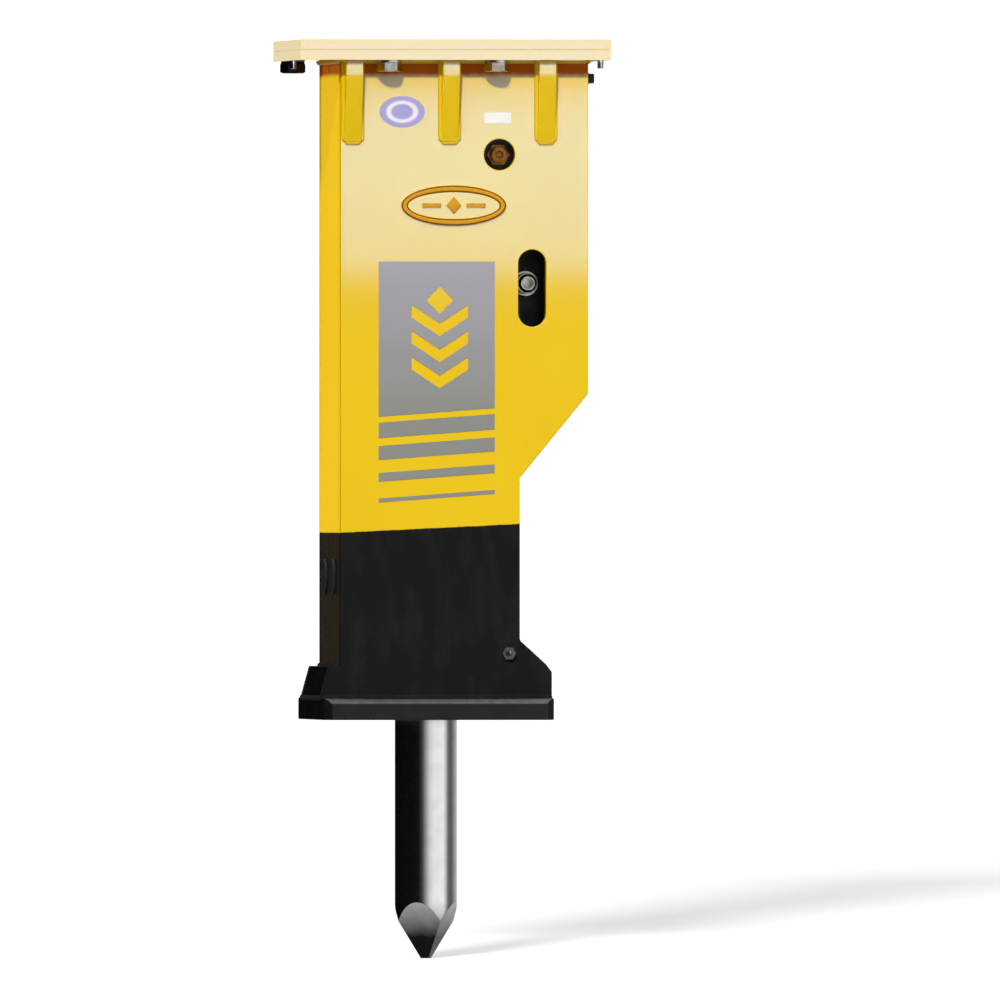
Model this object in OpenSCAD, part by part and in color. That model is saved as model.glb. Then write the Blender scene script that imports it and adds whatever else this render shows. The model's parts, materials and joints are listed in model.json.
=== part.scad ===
// Box-housed hydraulic breaker hammer with a moil point tool.
// The origin is on the tool axis, on the top mounting face. +Z is up, so every
// level below the mounting face is negative. -Y is the front, the side that
// carries the badge. +X is the side of the valve bay.

/* [Tool and piston] */
// Diameter of the tool's shank
tool_d = 100; // [84:1:120]
// Length of the tool from its struck end to its point
tool_len = 745; // [620:5:900]
// Length of the four flats of the point
point_len = 90; // [60:1:140]
// Width of the blunt end of the point
point_flat = 13; // [6:1:20]
// How far the tool slides between hanging on its pins and its upper stop
tool_travel = 45; // [30:1:60]
// Piston stroke above the impact position
piston_stroke = 110; // [80:1:135]
// How much smaller than the tool the piston's striking end is
piston_under = 8; // [6:1:14]
// Extra diameter of the piston's two lands
land_step = 6; // [4:1:10]
// Height of each land
land_len = 50; // [36:1:60]
// Height of the waist between the lands
waist_len = 52; // [40:1:64]
// How much smaller than the striking end the upper rod is
rod_under = 16; // [12:1:24]

/* [Power cell] */
// Width of the square power cell across its flats
cell_w = 210; // [190:1:256]
// Gas space left above the piston at full stroke
gas_room = 27; // [15:1:60]
// Height of the round cap on the back head, above the bolt pads
head_cap_h = 42; // [36:1:60]
// Length of the piston's lower guide bore
lower_guide_len = 104; // [96:1:130]
// Length of the seal retainer
retainer_len = 38; // [36:1:50]
// Distance from the thrust bush to the retaining pins
pin_below_bush = 60; // [55:1:80]
// Distance from the retaining pins to the front head's shoulder
pin_to_shoulder = 147; // [135:1:190]
// Length of the nose below the shoulder of the front head
nose_h = 78; // [66:1:80]
// Length of the lower bush
lower_bush_len = 131; // [100:1:150]
// Wall of the two bushes
bush_wall = 16; // [14:0.5:20]
// Distance of each through bolt from the cell's flats
bolt_edge = 23; // [20:1:26]
// Diameter of the four through bolts
through_bolt_d = 27; // [20:1:30]
// Diameter of the two tool retaining pins
rod_pin_d = 38; // [32:1:46]

/* [Valve bay] */
// Width of the valve block, out from the cylinder
valve_w = 78; // [70:1:100]
// Depth of the valve block, front to rear
valve_d = 124; // [112:1:134]
// Height of the valve block
valve_h = 270; // [262:1:300]
// Free space between the valve block and the bay's wall
bay_gap = 47; // [24:1:80]
// Height of the bay's sloping wall
bay_slope_h = 136; // [110:1:160]
// Travel of the valve spool
spool_travel = 12; // [6:1:16]
// Thread diameter of the two hose adapters
hose_thread_d = 33.3; // [26:0.1:38]
// Length of the hose adapters' thread
hose_thread_len = 23; // [18:0.5:28]
// Distance of the hose adapters from the cylinder's flat
hose_in = 47; // [40:1:52]
// Drop from the top of the valve block to the hose adapters
hose_down = 77; // [60:1:90]

/* [Housing] */
// Thickness of the housing's plates
plate_t = 16; // [12:1:25]
// Thickness of the closing plate that carries the mounting face
top_plate_t = 16.5; // [12:0.5:30]
// Thickness of the flange welded to the housing
flange_t = 16.5; // [12:0.5:30]
// Overhang of the flange, front and rear
overhang_y = 40; // [38:1:60]
// Overhang of the flange past the left wall
overhang_left = 70; // [60:1:90]
// Overhang of the flange past the valve bay
overhang_right = 32; // [28:1:60]
// Thickness of the front and rear guide plates
guide_y_t = 23.5; // [12:0.5:40]
// Thickness of the left guide plates
guide_left_t = 34.5; // [16:0.5:50]
// Thickness of the right guide plate
guide_right_t = 13.5; // [10:0.5:30]
// Height of the upper damper
upper_damper_h = 51.5; // [44:0.5:70]
// Height of the lower damper
lower_damper_h = 48; // [40:0.5:60]
// Radius of the upper damper and of the back head's cap
upper_damper_r = 80; // [60:1:84]
// Width of the bottom plate
bottom_w = 374; // [360:1:450]
// Depth of the bottom plate
bottom_d = 370; // [350:1:450]
// Thickness of the bottom plate
bottom_t = 35; // [24:1:45]
// Size of the bevel along the bottom plate's front and rear upper edges
bottom_bevel = 9; // [4:1:20]
// Size of the bottom plate's clipped corners
bottom_clip = 12; // [4:1:30]

/* [Gussets] */
// Places of the gussets along X
gusset_x = [-136, 21, 177]; // [-150:1:220]
// Thickness of each gusset
gusset_t = 28; // [12:1:32]
// Depth of a gusset under the flange
gusset_depth = 29; // [20:1:34]
// Height of a gusset
gusset_h = 132; // [90:1:180]
// Height of a gusset's upright nose
gusset_nose_h = 29; // [10:1:60]

/* [Fasteners of the top plate] */
// Diameter of the closing plate's bolts
plate_bolt_d = 24; // [16:1:27]
// Places of the bolts along X, in the front row and in the rear row
plate_bolt_x = [-79, 95]; // [-85:1:120]
// Radius of the four free holes for the carrier's bracket
bracket_hole_r = 13; // [9:0.5:14]
// Distance of the bracket holes from the ends of the plate
bracket_inset = 29; // [24:1:36]
// Diameter of the two dowel pins
dowel_d = 10; // [6:1:12]

/* [Openings in the side plates] */
// Width of the hose slots
slot_w = 45; // [44:1:56]
// Length of the hose slots
slot_len = 124; // [100:1:160]
// Radius of the opening at the gas charging valve
gas_port_r = 25; // [22:0.5:30]
// Distance of the gas charging valve in from the cell's side flat
gas_port_in = 3; // [2:0.5:5]
// Drop from the bolt pads to the gas charging valve
gas_port_down = 75; // [68:1:85]

/* [Markings] */
// Width of the oval badge
badge_w = 170; // [120:1:220]
// Height of the oval badge
badge_h = 65; // [40:1:90]
// Drop from the mounting face to the badge's centre
badge_drop = 267; // [255:1:300]
// Width of the grey panel and its stripes
panel_w = 188; // [120:1:200]
// Height of the grey panel at its centre
panel_h = 243; // [180:1:260]
// Drop from the mounting face to the panel's upper edge
panel_drop = 357; // [345:1:370]
// Rise of the panel's lower edge and of the stripes, per unit of width
panel_slope = 0.075; // [0:0.005:0.2]
// Heights of the stripes below the panel
stripe_h = [25, 22.5, 14, 6.5]; // [4:0.5:40]
// Clear spaces above each stripe
stripe_gap = [9.5, 12.5, 21, 27]; // [4:0.5:40]
// Thickness of the stick-on markings
decal_t = 0.8; // [0.5:0.1:2]

/* [Fits] */
// Radial clearance of a sliding fit
slide_fit = 0.05; // [0.02:0.01:0.08]
// Radial clearance of a seated bush, pin or thread
seat_fit = 0.05; // [0.02:0.01:0.08]
// Gap between the power cell and the guide plates
guide_gap = 0.5; // [0.3:0.1:2]

/* [Hidden] */
$fn = 96;
EPS = 1;

// Plan of the power cell and the housing around it
cell_r = cell_w / 2;
inner_y = cell_r + guide_gap + guide_y_t;
outer_y = inner_y + plate_t;
inner_left = -(cell_r + guide_gap + guide_left_t);
outer_left = inner_left - plate_t;
inner_right = cell_r + guide_gap + guide_right_t;
outer_right = inner_right + plate_t;
valve_x1 = cell_r + valve_w;
bay_inner = valve_x1 + bay_gap;
bay_outer = bay_inner + plate_t;
overhang = max(overhang_y, 1.5 * plate_bolt_d + 4);
flange_y = outer_y + overhang;
flange_x0 = outer_left - overhang_left;
flange_x1 = bay_outer + overhang_right;
flange_lip = 22;

// Tool, piston and bores
tool_r = tool_d / 2;
stub_r = tool_r - 6;
stub_len = 40;
stub_taper = 10;
impact_depth = 10;
impact_gap = 0.5;
piston_r = tool_r - piston_under / 2;
land_r = piston_r + land_step / 2;
rod_r = piston_r - rod_under / 2;
gas_reach = 7;
chamber_r = rod_r + 12;
chamber_roof = 8;
bore_relief = 4;
head_room = 10;
retainer_r = rod_r + 18;

// Heights of the power cell's parts
thrust_len = impact_depth + stub_len + stub_taper + tool_travel + 20;
back_head_h = gas_reach + piston_stroke + gas_room + chamber_roof;
cylinder_h = lower_guide_len + bore_relief + 2 * land_len + waist_len
    + piston_stroke + head_room + retainer_len;
front_head_h = thrust_len + pin_below_bush + pin_to_shoulder;

// Levels, from the mounting face down
z_plate = -top_plate_t;
z_flange = z_plate - flange_t;
z_cap = z_plate - upper_damper_h;
z_pads = z_cap - head_cap_h;
z_cyl = z_pads - back_head_h;
z_front = z_cyl - cylinder_h;
z_shoulder = z_front - front_head_h;
z_base = z_shoulder - lower_damper_h;
z_bottom = z_base - bottom_t;
z_nose = z_shoulder - nose_h;

// Tool and what guides and holds it
tool_top_high = z_front - impact_depth;
tool_top = tool_top_high - tool_travel;
tool_tip = tool_top - tool_len;
point_lean = atan2(tool_r - point_flat / 2, point_len);
point_turn = 66;
rod_pin_r = rod_pin_d / 2;
rod_pin_z = z_front - thrust_len - pin_below_bush;
flat_depth = 13.3;
rod_pin_gap = 0.3;
flat_y = tool_r - flat_depth;
rod_pin_y = flat_y + rod_pin_gap + rod_pin_r;
pin_end_play = 0.1;
bush_r = tool_r + bush_wall;
bush_fit = slide_fit + 0.01;
z_bush_bottom = z_nose + 4;
nose_r = bush_r + 14;
nose_hole_r = nose_r + 6;
tool_bore_r = tool_r + 4;
thrust_bore_r = piston_r + 1.5;

// Piston, at its impact position
piston_z0 = tool_top_high + impact_gap;
bore_z0 = z_front + lower_guide_len;
land_z0 = bore_z0 + bore_relief;
land_z1 = land_z0 + 2 * land_len + waist_len;
piston_z1 = z_cyl + gas_reach;
retainer_z0 = z_cyl - retainer_len;
chamber_z1 = z_pads - chamber_roof;

// Seals: level of each groove, its height and its depth
seal_wall = 8;
dust_z = z_front + 12;
packing_z = z_front + 30;
buffer_z = z_front + 50;
step_z = retainer_z0 + 8;
gas_seal_z = retainer_z0 + 22;
ring_h = 9;
ring_fit = 0.1;
tool_seal_h = 12;

// Annular ports in the cylinder, and their face seals
port_z = [bore_z0 + 46, bore_z0 + 106, bore_z0 + 181];
port_h = 16;
port_depth = 6;
port_r = 7;
port_ring_r = 12;
port_ring_wire = 3;

// Valve block
valve_z0 = bore_z0 - 9;
valve_z1 = valve_z0 + valve_h;
valve_y = valve_d / 2;
spool_x = cell_r + valve_w / 2;
spool_r = 18;
spool_z0 = valve_z0 + 50;
spool_len = 150;
spool_bore_z0 = spool_z0 - 10;
valve_cap_t = 20;
valve_cap_r = 34;
spigot_z0 = spool_z0 + spool_len + spool_travel + 8;
valve_bolt_r = 8;
valve_bolt_reach = 30;
valve_bolt_y = valve_y - 16;
valve_bolt_z = [valve_z1 - 20, valve_z0 + 20];
cap_bolt_r = 5;
cap_bolt_pcr = valve_cap_r - 8;
adjuster_z = valve_z0 + 85;
adjuster_r = 8;
adjuster_reach = 40;
adjuster_out = 24;
adjuster_nut_t = 10;

// The bay's wall turns inwards beside the foot of the valve block
z_bay_turn = valve_z0 + 15;
z_bay_end = z_bay_turn - bay_slope_h;
bay_angle = atan2(bay_outer - outer_right, bay_slope_h);
bay_miter = plate_t * tan(bay_angle / 2);

// Hose adapters: the inlet is at the front, the outlet at the rear
hose_x = cell_r + hose_in;
hose_z = valve_z1 - hose_down;
hose_stud_r = 13;
hose_stud_len = 20;
hose_hex_af = 41;
hose_hex_t = 18;
hose_thread_r = hose_thread_d / 2;
hose_neck_r = hose_thread_r - 2.5;
hose_neck_len = 4;
hose_cone_len = 6;
hose_bore_r = 9;
slot_x = hose_x + 3;
slot_z = hose_z - 8;

// Gas charging valve and the lug that holds it
gas_port_x = cell_r - gas_port_in;
gas_z = z_pads - gas_port_down;
lug_y = cell_r + 13;
lug_half_h = 36;
lug_x0 = gas_port_x - 30;
lug_x1 = gas_port_x + 38;
lug_in = 70;
gas_stem_r = 10;
gas_stem_len = 19;
gas_passage_r = 4;
gas_passage_y = chamber_r - 5;
gas_hex_af = 32;
gas_hex_t = 10;
gas_tip_r = 8;
gas_cap_r = 14;
gas_cap_y0 = lug_y + gas_hex_t;
gas_cap_y1 = outer_y - 2;
gas_cap_wall = 4;

// Through bolts
bolt_offset = cell_r - bolt_edge;
tb_r = through_bolt_d / 2;
tb_hole_r = tb_r + 1;
tb_af = 1.52 * through_bolt_d;
tb_washer_t = 5;
tb_nut_t = 0.85 * through_bolt_d;
tb_reach = 90;

// Top plate fasteners
pb_r = plate_bolt_d / 2;
pb_af = 1.5 * plate_bolt_d;
pb_head_t = 0.63 * plate_bolt_d;
pb_washer_t = 4;
pb_washer_r = 0.8 * plate_bolt_d;
pb_blind = 3.5;
pb_row_y = outer_y + overhang / 2;
side_bolt = [flange_x0 + 23, 112];
bracket_x0 = flange_x0 + bracket_inset;
bracket_x1 = flange_x1 - bracket_inset;
dowel_out = 13;
dowel_at = [[flange_x0 + dowel_d + 0.5, 0], [flange_x1 - dowel_d - 0.5, -(pb_row_y - 35)]];

// Boot at the housing's lower end
boot_left_in = 14;
boot_left_h = 51;
boot_right_h = 93;
boot_slope_h = 39;
boot_knee_h = 12;
boot_knee_in = 9;
boot_t = 12;
boot_x = max(bottom_w / 2, -outer_left + boot_left_in + boot_t + 5);

// Guides, access holes and small outside parts
guide_half = 30;
guide_y_half = 60;
upper_guide_z1 = z_pads - 20;
upper_guide_h = 110;
lower_guide_z1 = z_front - 60;
lower_guide_h = 220;
access_r = rod_pin_r + 5;
cover_lip = 5;
cover_t = 4;
stopper_r = 6;
stopper_x = cell_r - 25;
stopper_groove = 4;
stopper_z = rod_pin_z + rod_pin_r - stopper_groove + stopper_r + seat_fit;
lock_pin_r = 7;
lock_pin_z = z_shoulder + 27;
nipple_x = outer_right - 18;
nipple_z = z_shoulder + 24;
nipple_af = 19;
nipple_stem_r = 5;
side_plug_z = z_flange - 29;
side_plug_y = outer_y - 17;
side_plug_r = 9;

// Decals
label_size = [44, 18];
label_at = [gas_port_x - 3, -126];
round_size = [73, 50];
round_at = [-56, -116];
emblem_w = 92;
chevron_h = 30;
chevron_t = 20;
chevron_pitch = 42;
chevron_rows = 3;
emblem_drop = 62;
diamond_r = 22;
emblem_x = 5;
badge_x = 27.5;
badge_t = 2.5;
badge_rim = 5;
badge_rim_t = 4.5;

YELLOW = [0.93, 0.76, 0.13];
BLACK = [0.11, 0.11, 0.12];
STEEL = [0.55, 0.56, 0.58];
CAST = [0.40, 0.41, 0.43];
ZINC = [0.78, 0.78, 0.76];
BRONZE = [0.55, 0.36, 0.16];
RUBBER = [0.07, 0.07, 0.07];
DAMPER = [0.62, 0.20, 0.12];
GREY = [0.58, 0.58, 0.61];

// ---- Helpers ----

// Box between two corners
module box(lo, hi) {
    translate(lo) cube(hi - lo);
}

// Cylinders along each axis, from one place on the axis to another
module rod_z(r, z0, z1, at = [0, 0]) {
    translate([at[0], at[1], z0]) cylinder(r = r, h = z1 - z0);
}

module rod_x(r, x0, x1, y, z) {
    translate([x0, y, z]) rotate([0, 90, 0]) cylinder(r = r, h = x1 - x0);
}

module rod_y(r, y0, y1, x, z) {
    translate([x, y1, z]) rotate([90, 0, 0]) cylinder(r = r, h = y1 - y0);
}

// Ring about the tool axis
module ring_z(r_in, r_out, z0, z1) {
    difference() {
        rod_z(r_out, z0, z1);
        rod_z(r_in, z0 - EPS, z1 + EPS);
    }
}

// Hexagon prism along Z, by its width across flats
module hex_z(af, z0, z1, at = [0, 0]) {
    translate([at[0], at[1], z0]) cylinder(r = af / 2 / cos(30), h = z1 - z0, $fn = 6);
}

module hex_y(af, y0, y1, x, z) {
    translate([x, y1, z]) rotate([90, 0, 0]) cylinder(r = af / 2 / cos(30), h = y1 - y0, $fn = 6);
}

// Plate with its outline in X and Z, between two places along Y
module side_profile(y0, y1) {
    translate([0, y1, 0]) rotate([90, 0, 0]) linear_extrude(height = y1 - y0) children();
}

// The children, once at each of the four corners (+-x, +-y)
module at_corners(x, y) {
    for (sx = [-1, 1]) for (sy = [-1, 1]) translate([sx * x, sy * y, 0]) children();
}

// The children and their mirror image, front and rear
module front_and_rear() {
    children();
    mirror([0, 1, 0]) children();
}

// Slot with round ends, upright, cut along Y
module hose_slot(y0, y1) {
    straight = slot_len / 2 - slot_w / 2;
    box([slot_x - slot_w / 2, y0, slot_z - straight], [slot_x + slot_w / 2, y1, slot_z + straight]);
    rod_y(slot_w / 2, y0, y1, slot_x, slot_z - straight);
    rod_y(slot_w / 2, y0, y1, slot_x, slot_z + straight);
}

// ---- Top plates ----

module mounting_outline(z0, z1) {
    box([flange_x0, -flange_y, z0], [flange_x1, flange_y, z1]);
}

module plate_bolt_places() {
    for (x = plate_bolt_x) for (sy = [-1, 1]) translate([x, sy * pb_row_y, 0]) children();
    translate([side_bolt[0], side_bolt[1], 0]) children();
}

module bracket_holes(z0, z1) {
    for (x = [bracket_x0, bracket_x1]) for (sy = [-1, 1])
        rod_z(bracket_hole_r, z0, z1, [x, sy * pb_row_y]);
}

module dowel_holes(z0, z1) {
    for (p = dowel_at) rod_z(dowel_d / 2 + seat_fit, z0, z1, p);
}

module top_plate() {
    color(YELLOW) difference() {
        mounting_outline(z_plate, 0);
        bracket_holes(z_plate - EPS, EPS);
        plate_bolt_places() rod_z(pb_r + seat_fit, z_plate - EPS, -pb_blind);
        dowel_holes(z_plate - EPS, -pb_blind);
    }
}

module top_flange() {
    color(YELLOW) difference() {
        mounting_outline(z_flange, z_plate);
        box([inner_left + flange_lip, -inner_y + flange_lip, z_flange - EPS],
            [bay_inner - flange_lip, inner_y - flange_lip, z_plate + EPS]);
        bracket_holes(z_flange - EPS, z_plate + EPS);
        plate_bolt_places() rod_z(pb_r + 1, z_flange - EPS, z_plate + EPS);
        dowel_holes(z_flange - EPS, z_plate + EPS);
    }
}

module top_plate_bolts() {
    z_seat = z_flange - pb_washer_t;
    color(ZINC) plate_bolt_places() {
        rod_z(pb_r, z_seat, -pb_blind - 0.5);
        difference() {
            hex_z(pb_af, z_seat - pb_head_t, z_seat);
            // Turned edge of the head
            difference() {
                rod_z(pb_af, z_seat - pb_head_t - EPS, z_seat - pb_head_t + 3);
                translate([0, 0, z_seat - pb_head_t - EPS])
                    cylinder(r1 = pb_af / 2 - 3, r2 = pb_af / 2 + 4, h = 3 + EPS);
            }
        }
    }
}

module top_plate_washers() {
    color(ZINC) plate_bolt_places() difference() {
        rod_z(pb_washer_r, z_flange - pb_washer_t, z_flange);
        rod_z(pb_r + 0.5, z_flange - pb_washer_t - EPS, z_flange + EPS);
    }
}

module dowel_pins() {
    color(STEEL) for (p = dowel_at) rod_z(dowel_d / 2, z_flange - dowel_out, -pb_blind - 0.5, p);
}

// ---- Housing plates ----

// Outline of the front and rear plates, with the boot at the lower end
module side_outline() {
    polygon([
        [outer_left, z_flange], [bay_outer, z_flange], [bay_outer, z_bay_turn],
        [outer_right, z_bay_end], [outer_right, z_base + boot_right_h],
        [boot_x - boot_knee_in, z_base + boot_right_h - boot_slope_h],
        [boot_x, z_base + boot_right_h - boot_slope_h - boot_knee_h],
        [boot_x, z_base], [-boot_x, z_base],
        [-boot_x + boot_left_in, z_base + boot_left_h], [outer_left, z_base + boot_left_h]
    ]);
}

module front_side_plate() {
    color(YELLOW) difference() {
        side_profile(-outer_y, -inner_y) side_outline();
        hose_slot(-outer_y - EPS, -inner_y + EPS);
        rod_y(gas_port_r, -outer_y - EPS, -inner_y + EPS, gas_port_x, gas_z);
        rod_y(nipple_stem_r + seat_fit, -outer_y - EPS, -inner_y + EPS, nipple_x, nipple_z);
    }
}

module rear_side_plate() {
    color(YELLOW) difference() {
        side_profile(inner_y, outer_y) side_outline();
        hose_slot(inner_y - EPS, outer_y + EPS);
    }
}

module access_holes(x0, x1) {
    for (sy = [-1, 1]) rod_x(access_r, x0, x1, sy * rod_pin_y, rod_pin_z);
}

module left_wall() {
    color(YELLOW) difference() {
        box([outer_left, -inner_y, z_base], [inner_left, inner_y, z_flange]);
        access_holes(outer_left - EPS, inner_left + EPS);
    }
}

module right_wall() {
    color(YELLOW) difference() {
        side_profile(-inner_y, inner_y) polygon([
            [bay_outer, z_flange], [bay_outer, z_bay_turn], [outer_right, z_bay_end],
            [outer_right, z_base], [inner_right, z_base], [inner_right, z_bay_end + bay_miter],
            [bay_inner, z_bay_turn + bay_miter], [bay_inner, z_flange]
        ]);
        access_holes(inner_right - EPS, outer_right + EPS);
        rod_x(side_plug_r / 2 + seat_fit, bay_inner - EPS, bay_outer + EPS, -side_plug_y + plate_t, side_plug_z);
    }
}

// Gusset under the flange: an upright nose, then a slope down to the plate
module gusset() {
    rotate([90, 0, 90]) linear_extrude(height = gusset_t, center = true) polygon([
        [-outer_y, z_flange], [-outer_y - gusset_depth, z_flange],
        [-outer_y - gusset_depth, z_flange - gusset_nose_h],
        [-outer_y - 3, z_flange - gusset_h], [-outer_y, z_flange - gusset_h]
    ]);
}

module front_gussets() {
    color(YELLOW) for (x = gusset_x) translate([x, 0, 0]) gusset();
}

module rear_gussets() {
    color(YELLOW) mirror([0, 1, 0]) for (x = gusset_x) translate([x, 0, 0]) gusset();
}

// Base plate of the housing, bevelled along the front and rear of its upper face
module bottom_plate() {
    half_d = max(bottom_d / 2, outer_y + bottom_bevel + 6);
    big = bottom_w;
    color(BLACK) difference() {
        box([-boot_x, -half_d, z_bottom], [boot_x, half_d, z_base]);
        for (s = [-1, 1]) translate([0, s * half_d, z_base - bottom_bevel]) rotate([s * -45, 0, 0])
            translate([-big, -big, 0]) cube([2 * big, 2 * big, big]);
        // Clipped corners
        at_corners(boot_x, half_d) translate([0, 0, z_base]) rotate([0, 0, 45])
            cube([bottom_clip * sqrt(2), bottom_clip * sqrt(2), 3 * bottom_t], center = true);
        rod_z(nose_hole_r, z_bottom - EPS, z_base + EPS);
    }
}

module left_boot_plate() {
    top = z_base + boot_left_h;
    edge = -boot_x + boot_left_in;
    color(BLACK) side_profile(-inner_y, inner_y) polygon([
        [outer_left, top], [edge, top], [-boot_x, z_base],
        [-boot_x + boot_t, z_base], [edge + boot_t * 0.7, top - boot_t], [outer_left, top - boot_t]
    ]);
}

module right_boot_plate() {
    top = z_base + boot_right_h;
    knee = top - boot_slope_h;
    foot = knee - boot_knee_h;
    color(BLACK) side_profile(-inner_y, inner_y) polygon([
        [outer_right, top], [boot_x - boot_knee_in, knee], [boot_x, foot], [boot_x, z_base],
        [boot_x - boot_t, z_base], [boot_x - boot_t, foot - 3],
        [boot_x - boot_knee_in - boot_t / 2, knee - boot_t], [outer_right, top - 1.4 * boot_t]
    ]);
}

// ---- Guides, covers and dampers ----

module guide_pad_y(z0, z1) {
    front_and_rear() box([-guide_y_half, -inner_y, z0], [guide_y_half, -cell_r - guide_gap, z1]);
}

module guide_pad_left(z0, z1) {
    box([inner_left, -guide_half, z0], [-cell_r - guide_gap, guide_half, z1]);
}

module upper_guides() {
    z0 = upper_guide_z1 - upper_guide_h;
    color(STEEL) {
        guide_pad_y(z0, upper_guide_z1);
        guide_pad_left(z0, upper_guide_z1);
    }
}

module lower_guides() {
    z0 = lower_guide_z1 - lower_guide_h;
    color(STEEL) {
        guide_pad_y(z0, lower_guide_z1);
        guide_pad_left(z0, lower_guide_z1);
        box([cell_r + guide_gap, -guide_half, z0], [inner_right, guide_half, lower_guide_z1]);
    }
}

// Push-in rubber covers over the holes that the retaining pins come out of
module access_cover(x_out, x_in) {
    dir = sign(x_out - x_in);
    for (sy = [-1, 1]) translate([0, sy * rod_pin_y, rod_pin_z]) rotate([0, dir * 90, 0]) {
        translate([0, 0, abs(x_out)]) cylinder(r = access_r + cover_lip, h = cover_t);
        translate([0, 0, abs(x_in)]) cylinder(r = access_r - seat_fit, h = plate_t);
    }
}

module pin_access_covers() {
    color(RUBBER) {
        access_cover(outer_left, inner_left);
        access_cover(outer_right, inner_right);
    }
}

module upper_damper() {
    color(DAMPER) ring_z(18, upper_damper_r, z_cap, z_plate);
}

module lower_damper() {
    r_out = min(cell_r + 7, inner_right - 2);
    color(DAMPER) ring_z(nose_r + 3, r_out, z_base, z_shoulder);
}

// ---- Badge and stick-on markings ----

module oval(w, h) {
    scale([w / 2, h / 2]) circle(r = 1, $fn = 72);
}

// Flat shape on the front plate, standing out from it by t
module on_front(t) {
    side_profile(-outer_y - t, -outer_y) children();
}

// Oval badge with a raised rim and a plain raised diamond between two bars
module name_badge() {
    color(YELLOW) translate([badge_x, 0, -badge_drop]) {
        on_front(badge_t) oval(badge_w, badge_h);
        translate([0, -badge_t, 0]) on_front(badge_rim_t - badge_t) {
            difference() {
                oval(badge_w, badge_h);
                oval(badge_w - 2 * badge_rim, badge_h - 2 * badge_rim);
            }
            polygon([[-12, 0], [0, 14], [12, 0], [0, -14]]);
            for (s = [-1, 1]) translate([s * 36, 0]) square([30, 7], center = true);
        }
    }
}

// Chevron that points down, with its tip at the origin
module chevron() {
    w = emblem_w / 2;
    polygon([
        [0, 0], [w, chevron_h], [w, chevron_h + chevron_t],
        [0, chevron_t], [-w, chevron_h + chevron_t], [-w, chevron_h]
    ]);
}

// Four-sided band across the panel's width, with both long edges at the panel's slope
module sloped_band(top, h) {
    w = panel_w / 2;
    rise = panel_slope * w;
    polygon([[-w, top - rise], [w, top + rise], [w, top + rise - h], [-w, top - rise - h]]);
}

module panel_decal() {
    w = panel_w / 2;
    low = -panel_drop - panel_h;
    rise = panel_slope * w;
    color(GREY) on_front(decal_t) difference() {
        polygon([[-w, -panel_drop], [w, -panel_drop], [w, low + rise], [-w, low - rise]]);
        translate([emblem_x, -panel_drop - emblem_drop]) {
            polygon([[-diamond_r, 0], [0, diamond_r], [diamond_r, 0], [0, -diamond_r]]);
            for (i = [0 : chevron_rows - 1])
                translate([0, -diamond_r - chevron_h - 6 - i * chevron_pitch]) chevron();
        }
    }
}

function sum_to(v, n) = n < 0 ? 0 : v[n] + sum_to(v, n - 1);

module stripe_decals() {
    low = -panel_drop - panel_h;
    color(GREY) on_front(decal_t) for (i = [0 : len(stripe_h) - 1])
        sloped_band(low - sum_to(stripe_gap, i) - sum_to(stripe_h, i - 1), stripe_h[i]);
}

module round_decal() {
    color([0.66, 0.66, 0.86]) translate([round_at[0], 0, round_at[1]])
        on_front(decal_t) oval(round_size[0], round_size[1]);
}

module plain_label() {
    color([0.95, 0.94, 0.90]) translate([label_at[0], 0, label_at[1]])
        on_front(decal_t) square(label_size, center = true);
}

// ---- Small outside parts ----

module grease_nipple() {
    color(ZINC) {
        rod_y(nipple_stem_r, -outer_y, -inner_y - 0.5, nipple_x, nipple_z);
        hex_y(nipple_af, -outer_y - 7, -outer_y, nipple_x, nipple_z);
        rod_y(5, -outer_y - 12, -outer_y - 7, nipple_x, nipple_z);
        rod_y(3, -outer_y - 15, -outer_y - 12, nipple_x, nipple_z);
        translate([nipple_x, -outer_y - 17, nipple_z]) sphere(r = 4, $fn = 48);
    }
}

// Threaded plug of the compressed-air port, in the bay's wall
module side_plug() {
    y = -side_plug_y + plate_t;
    color(BRONZE) {
        rod_x(side_plug_r / 2, bay_inner, bay_outer, y, side_plug_z);
        rod_x(side_plug_r, bay_outer, bay_outer + 5, y, side_plug_z);
        translate([bay_outer + 5, y, side_plug_z]) rotate([0, 90, 0])
            cylinder(r = side_plug_r - 1, h = 8, $fn = 6);
    }
}

// ---- Power cell: heads and cylinder ----

module through_holes(z0, z1) {
    at_corners(bolt_offset, bolt_offset) rod_z(tb_hole_r, z0, z1);
}

// Gas chamber head, with a lug at its right front corner for the charging valve
module back_head() {
    color(CAST) difference() {
        union() {
            box([-cell_r, -cell_r, z_cyl], [cell_r, cell_r, z_pads]);
            rod_z(upper_damper_r, z_pads - EPS, z_cap);
            box([lug_x0, -lug_y, gas_z - lug_half_h], [lug_x1, -cell_r + lug_in, gas_z + lug_half_h]);
        }
        rod_z(chamber_r, z_cyl - EPS, chamber_z1);
        through_holes(z_cyl - EPS, z_pads + EPS);
        // Nut pads, cut flat round the cap
        at_corners(bolt_offset, bolt_offset) rod_z(tb_af / 2 + 6, z_pads, z_cap + EPS);
        rod_y(gas_stem_r + seat_fit, -lug_y - EPS, -lug_y + gas_stem_len + 1, gas_port_x, gas_z);
        rod_y(gas_passage_r, -lug_y + gas_stem_len, -gas_passage_y, gas_port_x, gas_z);
        rod_x(gas_passage_r, 0, gas_port_x, -gas_passage_y, gas_z);
    }
}

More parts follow.
